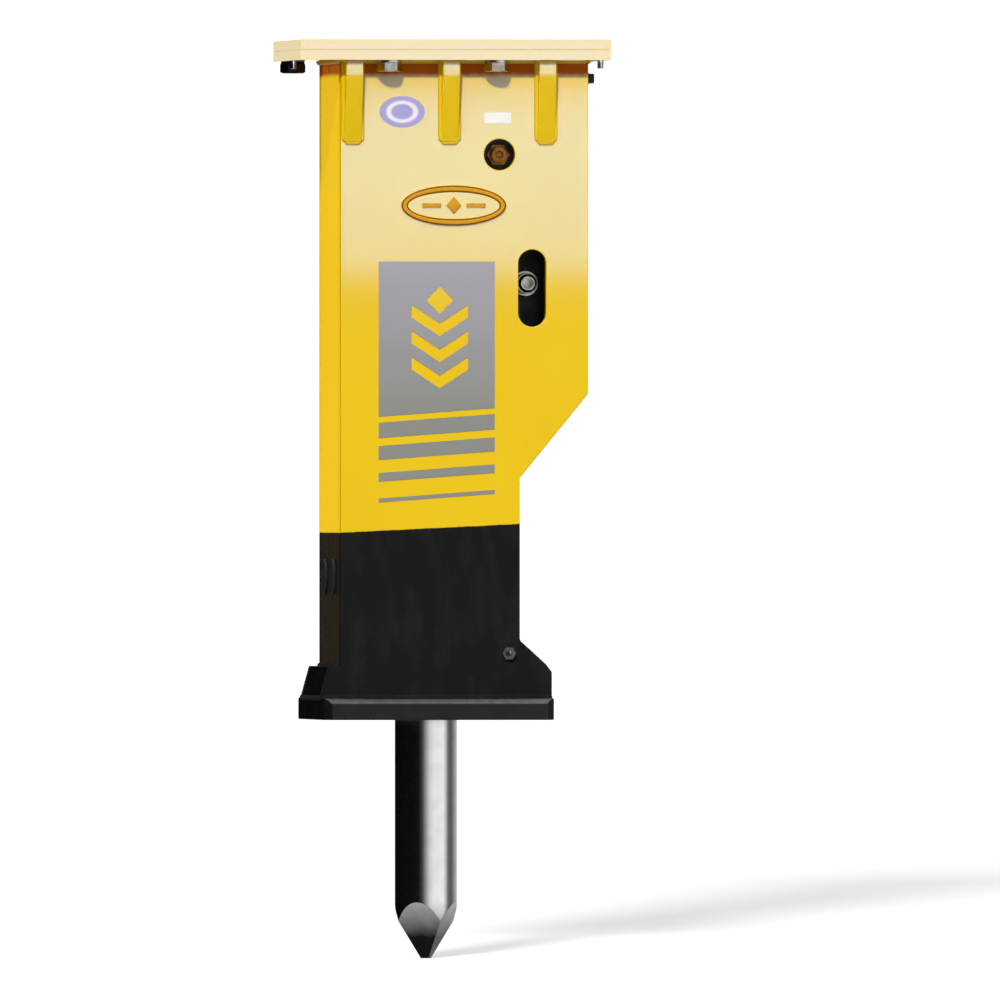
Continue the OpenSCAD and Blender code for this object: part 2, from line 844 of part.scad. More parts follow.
module cylinder_body() {
    color(STEEL) difference() {
        box([-cell_r, -cell_r, z_front], [cell_r, cell_r, z_cyl]);
        rod_z(piston_r + slide_fit, z_front - EPS, bore_z0 + EPS);
        rod_z(land_r + slide_fit, bore_z0, retainer_z0 + EPS);
        rod_z(retainer_r + seat_fit, retainer_z0, z_cyl + EPS);
        through_holes(z_front - EPS, z_cyl + EPS);
        for (z = port_z) {
            rod_z(land_r + port_depth, z - port_h / 2, z + port_h / 2);
            rod_x(port_r, land_r, cell_r + EPS, 0, z);
        }
        for (z = [dust_z, packing_z, buffer_z]) rod_z(piston_r + seal_wall, z, z + ring_h);
        // Groove for the O-ring under the back head
        ring_z(retainer_r + 4, retainer_r + 9, z_cyl - 4, z_cyl + EPS);
        for (z = valve_bolt_z) for (s = [-1, 1])
            rod_x(valve_bolt_r + seat_fit, cell_r - valve_bolt_reach - 2, cell_r + EPS, s * valve_bolt_y, z);
    }
}

module front_head() {
    color(CAST) difference() {
        union() {
            box([-cell_r, -cell_r, z_shoulder], [cell_r, cell_r, z_front]);
            rod_z(nose_r, z_nose, z_shoulder + EPS);
        }
        rod_z(bush_r + seat_fit, z_front - thrust_len, z_front + EPS);
        rod_z(tool_bore_r, z_nose - EPS, z_front);
        rod_z(bush_r + seat_fit, z_nose - EPS, z_bush_bottom + lower_bush_len);
        at_corners(bolt_offset, bolt_offset) rod_z(tb_r + seat_fit, z_front - tb_reach - 4, z_front + EPS);
        for (s = [-1, 1]) {
            rod_x(rod_pin_r + seat_fit, -cell_r - EPS, cell_r + EPS, s * rod_pin_y, rod_pin_z);
            rod_y(lock_pin_r + seat_fit, -cell_r - EPS, cell_r + EPS, s * bush_r, lock_pin_z);
        }
        // Holes for the stopper pins, from each face inwards
        front_and_rear() rod_y(stopper_r + seat_fit, -cell_r - EPS, -rod_pin_y + 12, stopper_x, stopper_z);
    }
}

// ---- Through bolts ----

module through_bolts() {
    top = z_pads + tb_washer_t + tb_nut_t + 6;
    color(STEEL) at_corners(bolt_offset, bolt_offset) rod_z(tb_r, z_front - tb_reach, top);
}

module through_washers() {
    color(STEEL) at_corners(bolt_offset, bolt_offset) difference() {
        rod_z(tb_af / 2 + 2, z_pads, z_pads + tb_washer_t);
        rod_z(tb_r + 0.5, z_pads - EPS, z_pads + tb_washer_t + EPS);
    }
}

module through_nuts() {
    z0 = z_pads + tb_washer_t;
    color(STEEL) at_corners(bolt_offset, bolt_offset) difference() {
        hex_z(tb_af, z0, z0 + tb_nut_t);
        rod_z(tb_r + seat_fit, z0 - EPS, z0 + tb_nut_t + EPS);
    }
}

// ---- Seals ----

module seal_retainer() {
    color(BRONZE) difference() {
        ring_z(rod_r + slide_fit, retainer_r, retainer_z0, z_cyl);
        for (z = [step_z, gas_seal_z]) rod_z(rod_r + seal_wall, z, z + ring_h);
    }
}

// Seal in a groove: it fills the groove and just clears the rod it seals
module rod_seal(r, z, lip) {
    color(RUBBER) difference() {
        ring_z(r + ring_fit, r + seal_wall - seat_fit, z + 0.1, z + ring_h - 0.1);
        // Lip opening
        ring_z(r + 3, r + 5, z + ring_h - lip, z + ring_h + EPS);
    }
}

module gas_seal() { rod_seal(rod_r, gas_seal_z, 3); }
module step_seal() { rod_seal(rod_r, step_z, 1); }
module buffer_seal() { rod_seal(piston_r, buffer_z, 2); }
module u_packing() { rod_seal(piston_r, packing_z, 5); }
module dust_seal() { rod_seal(piston_r, dust_z, 3); }

module head_oring() {
    color(RUBBER) translate([0, 0, z_cyl - 1.95])
        rotate_extrude() translate([retainer_r + 6.5, 0]) circle(r = 1.9, $fn = 32);
}

module port_orings() {
    color(RUBBER) for (z = port_z) translate([cell_r + port_ring_wire / 2 + 0.1, 0, z]) rotate([0, 90, 0])
        rotate_extrude() translate([port_ring_r, 0]) circle(r = port_ring_wire / 2, $fn = 32);
}

// ---- Bushes and tool retention ----

module thrust_bush() {
    z0 = z_front - thrust_len;
    stop = tool_top_high - stub_len - stub_taper + impact_gap;
    color(BRONZE) difference() {
        rod_z(bush_r, z0, z_front);
        rod_z(tool_r + bush_fit, z0 - EPS, stop);
        translate([0, 0, stop - 0.001])
            cylinder(r1 = tool_r + bush_fit, r2 = thrust_bore_r, h = stub_taper - 1.5);
        rod_z(thrust_bore_r, stop, z_front + EPS);
    }
}

module lower_bush() {
    color(BRONZE) difference() {
        rod_z(bush_r, z_bush_bottom, z_bush_bottom + lower_bush_len - 0.2);
        rod_z(tool_r + bush_fit, z_bush_bottom - EPS, z_bush_bottom + lower_bush_len + EPS);
        rod_z(tool_r + seal_wall, z_bush_bottom - EPS, z_bush_bottom + tool_seal_h);
        for (s = [-1, 1]) rod_y(lock_pin_r + seat_fit, -bush_r, bush_r, s * bush_r, lock_pin_z);
    }
}

module bush_lock_pins() {
    color(STEEL) for (s = [-1, 1]) rod_y(lock_pin_r, -cell_r + 2, cell_r - 2, s * bush_r, lock_pin_z);
}

module tool_dust_seal() {
    color(RUBBER) ring_z(tool_r + ring_fit, tool_r + seal_wall - seat_fit,
        z_bush_bottom, z_bush_bottom + tool_seal_h - 0.1);
}

// Retaining pins, each with a ring groove that its stopper pin catches
module rod_pins() {
    half = cell_r - 1;
    color(STEEL) for (s = [-1, 1]) difference() {
        rod_x(rod_pin_r, -half, half, s * rod_pin_y, rod_pin_z);
        difference() {
            rod_x(rod_pin_r + 2, stopper_x - stopper_r - 1, stopper_x + stopper_r + 1, s * rod_pin_y, rod_pin_z);
            rod_x(rod_pin_r - stopper_groove, stopper_x - 20, stopper_x + 20, s * rod_pin_y, rod_pin_z);
        }
    }
}

module pin_stoppers() {
    color(STEEL) front_and_rear() rod_y(stopper_r, -cell_r + 8, -rod_pin_y + 11, stopper_x, stopper_z);
}

module stopper_plugs() {
    color(RUBBER) front_and_rear() rod_y(stopper_r, -cell_r, -cell_r + 8, stopper_x, stopper_z);
}

// ---- Valve block ----

module valve_block() {
    color(CAST) difference() {
        box([cell_r, -valve_y, valve_z0], [valve_x1, valve_y, valve_z1]);
        rod_z(spool_r + slide_fit, spool_bore_z0, valve_z1 + EPS, [spool_x, 0]);
        for (z = port_z) {
            rod_x(port_r, cell_r - EPS, spool_x, 0, z);
            // Groove for the face seal
            translate([cell_r, 0, z]) rotate([0, 90, 0]) difference() {
                translate([0, 0, -EPS]) cylinder(r = port_ring_r + 2, h = EPS + port_ring_wire + 0.2);
                translate([0, 0, -2 * EPS]) cylinder(r = port_ring_r - 2, h = 3 * EPS + port_ring_wire + 0.2);
            }
        }
        for (z = valve_bolt_z) for (s = [-1, 1])
            rod_x(valve_bolt_r + 0.5, cell_r - EPS, valve_x1 + EPS, s * valve_bolt_y, z);
        front_and_rear() {
            rod_y(hose_stud_r + seat_fit, -valve_y - EPS, -valve_y + hose_stud_len + 1, hose_x, hose_z);
            rod_y(hose_bore_r, -valve_y + hose_stud_len, 0, hose_x, hose_z);
        }
        rod_y(adjuster_r + slide_fit, -valve_y - EPS, -valve_y + adjuster_reach + 1, hose_x, adjuster_z);
        for (a = [45 : 90 : 315]) rod_z(cap_bolt_r + seat_fit, valve_z1 - 18, valve_z1 + EPS,
            [spool_x + cap_bolt_pcr * cos(a), cap_bolt_pcr * sin(a)]);
    }
}

module socket_head_x(x0, y, z) {
    difference() {
        rod_x(valve_bolt_r * 1.5, x0, x0 + 2 * valve_bolt_r, y, z);
        translate([x0 + valve_bolt_r, y, z]) rotate([0, 90, 0])
            cylinder(r = valve_bolt_r * 0.98, h = 2 * valve_bolt_r, $fn = 6);
    }
}

module valve_bolts() {
    color(STEEL) for (z = valve_bolt_z) for (s = [-1, 1]) {
        rod_x(valve_bolt_r, cell_r - valve_bolt_reach, valve_x1 + 0.1, s * valve_bolt_y, z);
        socket_head_x(valve_x1, s * valve_bolt_y, z);
    }
}

module valve_cap() {
    color(CAST) difference() {
        union() {
            rod_z(valve_cap_r, valve_z1, valve_z1 + valve_cap_t, [spool_x, 0]);
            rod_z(spool_r - seat_fit, spigot_z0, valve_z1 + EPS, [spool_x, 0]);
        }
        for (a = [45 : 90 : 315]) rod_z(cap_bolt_r + 0.4, valve_z1 - EPS, valve_z1 + valve_cap_t + EPS,
            [spool_x + cap_bolt_pcr * cos(a), cap_bolt_pcr * sin(a)]);
    }
}

module valve_cap_bolts() {
    z = valve_z1 + valve_cap_t;
    color(STEEL) for (a = [45 : 90 : 315]) translate([spool_x + cap_bolt_pcr * cos(a), cap_bolt_pcr * sin(a), 0]) {
        rod_z(cap_bolt_r, valve_z1 - 17, z + 0.1);
        difference() {
            rod_z(cap_bolt_r * 1.5, z, z + 2 * cap_bolt_r);
            translate([0, 0, z + cap_bolt_r]) cylinder(r = cap_bolt_r * 0.9, h = 2 * cap_bolt_r, $fn = 6);
        }
    }
}

module adjuster_lock_nut() {
    color(ZINC) difference() {
        hex_y(30, -valve_y - adjuster_nut_t, -valve_y, hose_x, adjuster_z);
        rod_y(adjuster_r + slide_fit, -valve_y - adjuster_nut_t - EPS, -valve_y + EPS, hose_x, adjuster_z);
    }
}

module flow_adjuster() {
    end = -valve_y - adjuster_out;
    color(STEEL) difference() {
        rod_y(adjuster_r, end, -valve_y + adjuster_reach, hose_x, adjuster_z);
        // Hexagon socket for the key
        hex_y(8, end - EPS, end + 9, hose_x, adjuster_z);
    }
}

// Male hose adapters with a cone seat: stud, hexagon, neck, thread and cone
module hose_adapters() {
    y_hex = -valve_y - hose_hex_t;
    y_neck = y_hex - hose_neck_len;
    y_end = y_neck - hose_thread_len;
    color(ZINC) front_and_rear() difference() {
        union() {
            rod_y(hose_stud_r, -valve_y, -valve_y + hose_stud_len, hose_x, hose_z);
            hex_y(hose_hex_af, y_hex, -valve_y, hose_x, hose_z);
            rod_y(hose_neck_r, y_neck - 0.1, y_hex, hose_x, hose_z);
            rod_y(hose_thread_r, y_end, y_neck, hose_x, hose_z);
            translate([hose_x, y_end, hose_z]) rotate([90, 0, 0])
                cylinder(r1 = hose_thread_r - 1.5, r2 = hose_thread_r - 5.5, h = hose_cone_len);
        }
        rod_y(hose_bore_r, y_end - hose_cone_len - EPS, -valve_y + hose_stud_len + EPS, hose_x, hose_z);
    }
}

// ---- Gas charging valve ----

module gas_valve() {
    color(BRONZE) difference() {
        union() {
            rod_y(gas_stem_r, -lug_y, -lug_y + gas_stem_len, gas_port_x, gas_z);
            hex_y(gas_hex_af, -gas_cap_y0, -lug_y, gas_port_x, gas_z);
            rod_y(gas_tip_r, -gas_cap_y1 + gas_cap_wall, -gas_cap_y0, gas_port_x, gas_z);
        }
        rod_y(3, -gas_cap_y1, -lug_y + gas_stem_len + EPS, gas_port_x, gas_z);
    }
}

module gas_valve_cap() {
    slot = 2;
    color(BRONZE) difference() {
        rod_y(gas_cap_r, -gas_cap_y1, -gas_cap_y0, gas_port_x, gas_z);
        rod_y(gas_tip_r + seat_fit, -gas_cap_y1 + gas_cap_wall, -gas_cap_y0 + EPS, gas_port_x, gas_z);
        // Key slot across the cap
        box([gas_port_x - gas_cap_r, -gas_cap_y1 - EPS, gas_z - slot],
            [gas_port_x + gas_cap_r, -gas_cap_y1 + slot, gas_z + slot]);
    }
}

// ---- Moving parts ----

module piston() {
    edge = 2;
    groove = 1.5;
    color(STEEL) rotate_extrude() polygon([
        [0, piston_z0], [piston_r - edge, piston_z0], [piston_r, piston_z0 + edge],
        [piston_r, land_z0], [land_r - groove, land_z0], [land_r, land_z0 + groove],
        [land_r, land_z0 + land_len], [piston_r - 1, land_z0 + land_len],
        [piston_r - 1, land_z0 + land_len + waist_len], [land_r, land_z0 + land_len + waist_len],
        [land_r, land_z1 - groove], [land_r - groove, land_z1], [rod_r, land_z1],
        [rod_r, piston_z1 - edge], [rod_r - edge, piston_z1], [0, piston_z1]
    ]);
}

// Tool: struck end, shoulder, shank with two retaining flats, and a four-sided point
module tool() {
    z_high = rod_pin_z + pin_end_play;
    z_low = rod_pin_z - tool_travel - 2;
    half_x = tool_r + EPS;
    color(STEEL) difference() {
        rotate_extrude() polygon([
            [0, tool_tip], [tool_r, tool_tip],
            [tool_r, tool_top - stub_len - stub_taper], [stub_r, tool_top - stub_len],
            [stub_r, tool_top - 3], [stub_r - 3, tool_top], [0, tool_top]
        ]);
        // Retaining flats, with round ends that bear on the pins
        front_and_rear() {
            box([-half_x, -tool_d, z_low], [half_x, -flat_y, z_high]);
            for (z = [z_low, z_high]) rod_x(rod_pin_r + 2 * pin_end_play, -half_x, half_x, -rod_pin_y, z);
        }
        // Four flats of the point, each leaning in to the tip
        for (a = [0 : 90 : 270]) rotate([0, 0, a + point_turn]) translate([point_flat / 2, 0, tool_tip])
            rotate([0, point_lean, 0]) translate([0, -tool_d, -tool_d]) cube([tool_d, 2 * tool_d, 4 * tool_d]);
    }
}

module spool() {
    land = spool_len / 5;
    waist = 6;
    color(STEEL) translate([spool_x, 0, 0]) difference() {
        rod_z(spool_r, spool_z0, spool_z0 + spool_len);
        for (i = [1, 3]) ring_z(spool_r - waist, spool_r + 2, spool_z0 + i * land, spool_z0 + (i + 1) * land);
        rod_z(6, spool_z0 + spool_len - 40, spool_z0 + spool_len + EPS);
    }
}

top_plate();
top_flange();
top_plate_bolts();
top_plate_washers();
dowel_pins();
front_side_plate();
rear_side_plate();
left_wall();
right_wall();
front_gussets();
rear_gussets();
bottom_plate();
left_boot_plate();
right_boot_plate();
upper_guides();
lower_guides();
pin_access_covers();
upper_damper();
lower_damper();
name_badge();
panel_decal();
stripe_decals();
round_decal();
plain_label();
grease_nipple();
side_plug();
back_head();
cylinder_body();
front_head();
through_bolts();
through_nuts();
through_washers();
seal_retainer();
gas_seal();
step_seal();
buffer_seal();
u_packing();
dust_seal();
head_oring();
thrust_bush();
lower_bush();
bush_lock_pins();
tool_dust_seal();
rod_pins();
pin_stoppers();
stopper_plugs();
valve_block();
valve_bolts();
valve_cap();
valve_cap_bolts();
port_orings();
adjuster_lock_nut();
hose_adapters();
gas_valve();
gas_valve_cap();
piston();
tool();
spool();
flow_adjuster();
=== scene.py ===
# %% [markdown]
# # A box-housed hydraulic breaker hammer
# The hammer hangs under an excavator. A welded steel box holds a power cell, and a moil point
# tool sticks out below. The exact solids come from CAD as a fixed frame, in metres. This file
# gives them their finishes, rounds their edges, and adds what a solid model leaves out: weld
# beads, threads and knurls.

# %% Load the frame
import json
import math

import bmesh
import bpy
import numpy as np
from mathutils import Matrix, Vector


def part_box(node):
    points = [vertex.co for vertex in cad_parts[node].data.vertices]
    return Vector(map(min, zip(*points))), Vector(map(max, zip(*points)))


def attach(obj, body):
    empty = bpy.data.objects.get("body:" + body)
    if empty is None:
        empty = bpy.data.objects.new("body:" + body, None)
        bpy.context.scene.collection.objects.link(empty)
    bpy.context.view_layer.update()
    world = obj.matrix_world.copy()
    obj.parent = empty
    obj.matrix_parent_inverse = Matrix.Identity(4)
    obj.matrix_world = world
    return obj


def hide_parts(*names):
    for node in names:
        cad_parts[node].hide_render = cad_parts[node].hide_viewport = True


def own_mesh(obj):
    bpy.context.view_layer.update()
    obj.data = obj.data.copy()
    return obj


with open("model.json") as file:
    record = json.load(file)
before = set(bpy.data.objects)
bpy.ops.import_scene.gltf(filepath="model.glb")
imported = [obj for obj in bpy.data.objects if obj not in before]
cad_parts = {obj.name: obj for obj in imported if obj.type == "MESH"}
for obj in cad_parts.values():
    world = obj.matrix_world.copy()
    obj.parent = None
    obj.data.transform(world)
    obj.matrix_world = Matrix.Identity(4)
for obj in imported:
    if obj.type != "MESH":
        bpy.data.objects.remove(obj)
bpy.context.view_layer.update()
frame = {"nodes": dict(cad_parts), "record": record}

MM = 0.001

# %% [markdown]
# Every place below is worked out from the boxes of the CAD nodes, so that nothing has to be
# typed twice. `edge` gives one side of a node's box, such as the top of the bottom plate.


# %% Where things are
AXES = {"x": 0, "y": 1, "z": 2}


def edge(node, side):
    """One side of a node's box in metres. side is the end and the axis, such as "+z"."""
    low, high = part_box(node)
    return (high if side[0] == "+" else low)[AXES[side[1]]]


FRONT = edge("front_side_plate", "-y")
LEFT = edge("left_wall", "-x")
BAY = edge("right_wall", "+x")
FLANGE = edge("top_flange", "-z")
BASE = edge("bottom_plate", "+z")
TIP = edge("tool", "-z")
print("front, left, bay, base and tip, m:", [round(v, 4) for v in (FRONT, LEFT, BAY, BASE, TIP)])

# %% [markdown]
# ## Camera
# A very long lens far away keeps parallel edges parallel, as in a catalogue picture. The camera
# is level, and 7 degrees round to the left, so that a narrow strip of the left wall shows.

# %% Camera
CAMERA_AZIMUTH = math.radians(-7)
CAMERA_DISTANCE = 70.0
METRES_ACROSS = 1.613
SENSOR_MM = 36.0
LOOKS_AT = np.array([0.1187, -0.0146, -0.741])
towards_camera = np.array([math.sin(CAMERA_AZIMUTH), -math.cos(CAMERA_AZIMUTH), 0.0])

camera_data = bpy.data.cameras.new("camera")
camera_data.sensor_width = SENSOR_MM
camera_data.lens = SENSOR_MM * CAMERA_DISTANCE / METRES_ACROSS
camera_data.clip_end = 1000.0
camera = bpy.data.objects.new("camera", camera_data)
camera.location = LOOKS_AT + towards_camera * CAMERA_DISTANCE
camera.rotation_euler = (math.pi / 2, 0.0, CAMERA_AZIMUTH)
bpy.context.scene.collection.objects.link(camera)
bpy.context.scene.camera = camera
print("camera lens, mm:", round(camera_data.lens, 1))

# %% [markdown]
# ## Finishes
# `colour` turns a paint chip's sRGB hex value to linear light, which shaders work in. `add`
# puts one node in a material's tree: plain values set its sockets, and another node's output
# is linked in.


# %% Material helpers
def colour(hex_value):
    """sRGB hex such as "EFC21A" to a linear colour with alpha."""
    srgb = np.array([int(hex_value[i : i + 2], 16) for i in (0, 2, 4)]) / 255
    linear = np.where(srgb <= 0.04045, srgb / 12.92, ((srgb + 0.055) / 1.055) ** 2.4)
    return (*linear.tolist(), 1.0)


def add(tree, kind, sockets=None, **settings):
    """Adds a node. sockets maps an input's name or number to a value, or to an output to link."""
    new = tree.nodes.new(kind)
    for name, value in settings.items():
        setattr(new, name, value)
    for name, value in (sockets or {}).items():
        if isinstance(value, bpy.types.NodeSocket):
            tree.links.new(value, new.inputs[name])
        else:
            new.inputs[name].default_value = value
    return new


def new_material(name):
    """An empty node material, its tree, and the output of its Object coordinates."""
    material = bpy.data.materials.new(name)
    material.use_nodes = True
    tree = material.node_tree
    tree.nodes.clear()
    place = add(tree, "ShaderNodeTexCoord").outputs["Object"]
    return material, tree, place


def noise(tree, place, size_mm, detail=3.0, stretch=(1.0, 1.0, 1.0)):
    """Noise whose features are about size_mm across. stretch makes them longer along an axis."""
    scale = add(tree, "ShaderNodeMapping", {"Vector": place, "Scale": [1 / s for s in stretch]})
    settings = {"Vector": scale.outputs[0], "Scale": 1 / (size_mm * MM), "Detail": detail}
    return add(tree, "ShaderNodeTexNoise", settings).outputs["Fac"]


def ramp(tree, value, low, high, out_low=0.0, out_high=1.0):
    """value from low to high becomes out_low to out_high, and stays there beyond them."""
    sockets = {"Value": value, 1: low, 2: high, 3: out_low, 4: out_high}
    return add(tree, "ShaderNodeMapRange", sockets).outputs[0]


def blend_colours(tree, share, first, second):
    """The first colour where share is 0, the second where it is 1."""
    mixer = add(tree, "ShaderNodeMix", {0: share, 6: first, 7: second}, data_type="RGBA")
    return mixer.outputs[2]


def shade(tree, sockets, height=None, depth_mm=0.05):
    """Principled shader into the output. height, from 0 to 1, raises a relief of depth_mm."""
    if height is not None:
        relief = {"Height": height, "Distance": depth_mm * MM, "Strength": 1.0}
        sockets = {**sockets, "Normal": add(tree, "ShaderNodeBump", relief).outputs[0]}
    shader = add(tree, "ShaderNodeBsdfPrincipled", sockets)
    add(tree, "ShaderNodeOutputMaterial", {"Surface": shader.outputs[0]})


def mathematics(tree, operation, first, second=0.0):
    """One step of arithmetic on two values."""
    return add(tree, "ShaderNodeMath", {0: first, 1: second}, operation=operation).outputs[0]


def split(tree, vector):
    """A vector's three outputs, named "X", "Y" and "Z"."""
    return add(tree, "ShaderNodeSeparateXYZ", {"Vector": vector}).outputs


# %% [markdown]
# ### Machine enamel
# The box is sprayed with a glossy alkyd enamel. The upper part is yellow. The lower part, which
# gets dirty and hot, is black below a masked line that rises slightly to the right. The corner
# under the flange is painted orange-brown, without coat: painted shade under the flange. The
# enamel has an orange peel of about 3 mm, under 0.02 mm deep, and follows the slow waves of
# hot-rolled plate. Fine dust dulls its gloss.

# %% Machine enamel
YELLOW_HEX, YELLOW_WORN_HEX = "E6C00F", "E2BA0C"
BLACK_HEX, BLACK_WORN_HEX = "1B1B1B", "262524"
PAINT_LINE_AT_LEFT = -0.793
PAINT_LINE_SLOPE = 0.048
PAINT_LINE_CREEP, PAINT_LINE_BLUR = 2.2 * MM, 1.4 * MM
# Orange-brown painted shade for the corner under the flange, with a ragged lower edge.
PAINTED_SHADE_HEX = "BE641A"
UNDER_PLATE = min(edge("top_plate", "-z"), edge("top_flange", "-z"))
PAINTED_SHADE_FROM, PAINTED_SHADE_FULL, PAINTED_SHADE_RAGGED = UNDER_PLATE - 25 * MM, UNDER_PLATE - 17 * MM, 6 * MM
GLOSS_COAT = {"Specular IOR Level": 0.0, "Coat Roughness": 0.12, "Coat IOR": 1.3}


def enamel(name, low_hex=None):
    """Glossy yellow enamel. With low_hex, the lower part is that colour, under the masked line."""
    material, tree, place = new_material(name)
    clouds = noise(tree, place, 260.0, 4.0)
    worn = ramp(tree, clouds, 0.35, 0.7)
    film = blend_colours(tree, worn, colour(YELLOW_HEX), colour(YELLOW_WORN_HEX))
    dust = noise(tree, place, 9.0, 6.0)
    gloss = ramp(tree, dust, 0.3, 0.75, 0.30, 0.40)
    coat = 1.0
    if low_hex:
        at = split(tree, place)
        rise = mathematics(tree, "MULTIPLY", at["X"], PAINT_LINE_SLOPE)
        level = mathematics(tree, "SUBTRACT", at["Z"], rise)
        creep = mathematics(tree, "MULTIPLY", noise(tree, place, 14.0, 5.0), PAINT_LINE_CREEP)
        line = PAINT_LINE_AT_LEFT - PAINT_LINE_SLOPE * LEFT
        above = ramp(tree, mathematics(tree, "ADD", level, creep), line, line + PAINT_LINE_BLUR)
        scuffs = ramp(tree, noise(tree, place, 30.0, 8.0, (1, 1, 3)), 0.45, 0.8)
        lower = blend_colours(tree, scuffs, colour(low_hex), colour(BLACK_WORN_HEX))
        film = blend_colours(tree, above, lower, film)
        gloss = ramp(tree, above, 0.0, 1.0, 0.5, 0.34)
        coat = ramp(tree, above, 0.0, 1.0, 0.02, 1.0)
        # Painted shade: the band under the flange turns orange-brown and loses its coat.
        ragged = mathematics(tree, "MULTIPLY", noise(tree, place, 11.0, 6.0), PAINTED_SHADE_RAGGED)
        height = mathematics(tree, "ADD", at["Z"], ragged)
        painted_shade = ramp(tree, height, PAINTED_SHADE_FROM, PAINTED_SHADE_FULL)
        film = blend_colours(tree, painted_shade, film, colour(PAINTED_SHADE_HEX))
        coat = mathematics(tree, "SUBTRACT", coat, painted_shade)
    waves = mathematics(tree, "MULTIPLY", noise(tree, place, 140.0, 1.0), 5.0)
    relief = mathematics(tree, "ADD", noise(tree, place, 3.2, 1.0), waves)
    sockets = {"Base Color": film, "Roughness": gloss, "Coat Weight": coat, **GLOSS_COAT}
    shade(tree, sockets, relief, 0.02)
    return material


yellow_enamel = enamel("alkyd_enamel_yellow")
two_tone_enamel = enamel("alkyd_enamel_yellow_over_black", BLACK_HEX)
print("enamels:", yellow_enamel.name, two_tone_enamel.name)

# %% [markdown]
# The boot and the bottom plate are black all over. They are sprayed satin, and are rubbed and
# slightly dusty in places.

# %% Satin black enamel
black_enamel, tree, place = new_material("satin_enamel_black")
rubbed = ramp(tree, noise(tree, place, 45.0, 8.0), 0.5, 0.75)
film = blend_colours(tree, rubbed, colour("0E0E0E"), colour("1C1B1A"))
dust = noise(tree, place, 12.0, 5.0)
shade(tree, {
    "Base Color": film, "Roughness": ramp(tree, dust, 0.3, 0.7, 0.26, 0.42),
    "Specular IOR Level": 0.3, "Coat Weight": 0.1, "Coat Roughness": 0.2,
}, noise(tree, place, 3.5, 2.0), 0.03)

# %% [markdown]
# The badge is a casting, sprayed with the box. What stands up from its dish is wiped with a
# brown-gold paint, darker on the flanks. How far a point lies behind the front finds it.

# %% Badge enamel
badge_enamel, tree, place = new_material("badge_enamel_with_gilt_rim")
at = split(tree, place)
below_top = mathematics(tree, "SUBTRACT", at["Y"], edge("name_badge", "-y"))
crest = ramp(tree, below_top, 0.22 * MM, 0.34 * MM, 1.0, 0.0)
flank = ramp(tree, below_top, 1.5 * MM, 1.8 * MM, 1.0, 0.0)
wiped = ramp(tree, noise(tree, place, 6.0, 4.0), 0.3, 0.75)
gilt = blend_colours(tree, wiped, colour("D89C1E"), colour("C88C16"))
film = blend_colours(tree, flank, colour(YELLOW_HEX), colour("8A5410"))
shade(tree, {
    "Base Color": blend_colours(tree, crest, film, gilt), "Roughness": 0.34,
    "Coat Weight": ramp(tree, flank, 0.0, 1.0, 1.0, 0.05), **GLOSS_COAT,
}, noise(tree, place, 3.2, 1.0), 0.02)

# %% [markdown]
# ### Steels
# One recipe covers the bare metals. They differ in colour, in gloss, and in the marks of the
# last tool that cut them: turned bars have fine rings, castings have grain, plating is smooth.
# A metal keeps the default IOR, because its colour already holds its reflectance.


# %% Bare metals
def metal(name, hex_value, dull_hex, roughness, marks_mm, depth_mm, stretch=(1.0, 1.0, 1.0)):
    """A bare metal. marks_mm is the spacing of its machining marks or grain."""
    material, tree, place = new_material(name)
    stain = ramp(tree, noise(tree, place, 28.0, 6.0), 0.42, 0.72)
    tone = blend_colours(tree, stain, colour(hex_value), colour(dull_hex))
    marks = noise(tree, place, marks_mm, 4.0, stretch)
    finish = ramp(tree, marks, 0.25, 0.75, roughness * 0.85, roughness * 1.3)
    shade(tree, {"Base Color": tone, "Metallic": 1.0, "Roughness": finish}, marks, depth_mm)
    return material


ROUND_RINGS = (40.0, 40.0, 1.0)
ground_steel = metal("ground_hardened_steel", "C4C6C9", "B2B4B8", 0.18, 0.6, 0.002, ROUND_RINGS)
machined_casting = metal("phosphated_steel_casting", "3E3F41", "2C2C2E", 0.46, 2.5, 0.05)
black_oxide = metal("black_oxide_steel", "3B3A3A", "2A2929", 0.36, 1.6, 0.01)
bronze = metal("aluminium_bronze", "A8743E", "6E4826", 0.26, 1.0, 0.01)
wear_plate = metal("hardened_wear_plate", "8C8D8E", "6F6F70", 0.38, 3.0, 0.03, (1.0, 1.0, 12.0))

# %% [markdown]
# The fasteners are zinc plated. Those outside the box's side walls, under the ends of the
# flange, are painted dark: painted shade. The nipple in the black part below is darker too.

# %% Zinc plating
zinc_plate, tree, place = new_material("bright_zinc_plating_darkened_in_places")
at = split(tree, place)
on_left = ramp(tree, at["X"], LEFT - 6 * MM, LEFT - 2 * MM, 1.0, 0.0)
on_right = ramp(tree, at["X"], BAY + 2 * MM, BAY + 6 * MM)
low_down = ramp(tree, at["Z"], PAINT_LINE_AT_LEFT - 20 * MM, PAINT_LINE_AT_LEFT, 0.75, 0.0)
# Painted shade on the fasteners under the flange ends, and a darker nipple low down.
darkened = mathematics(tree, "MAXIMUM", mathematics(tree, "MAXIMUM", on_left, on_right), low_down)
grain = noise(tree, place, 1.2, 4.0)
patches = ramp(tree, noise(tree, place, 14.0, 4.0), 0.35, 0.7)
clean = blend_colours(tree, patches, colour("DEDBD4"), colour("AAA69D"))
shade(tree, {
    "Base Color": blend_colours(tree, darkened, clean, colour("2E2622")), "Metallic": 1.0,
    "Roughness": ramp(tree, darkened, 0.0, 1.0, 0.22, 0.5),
}, grain, 0.01)
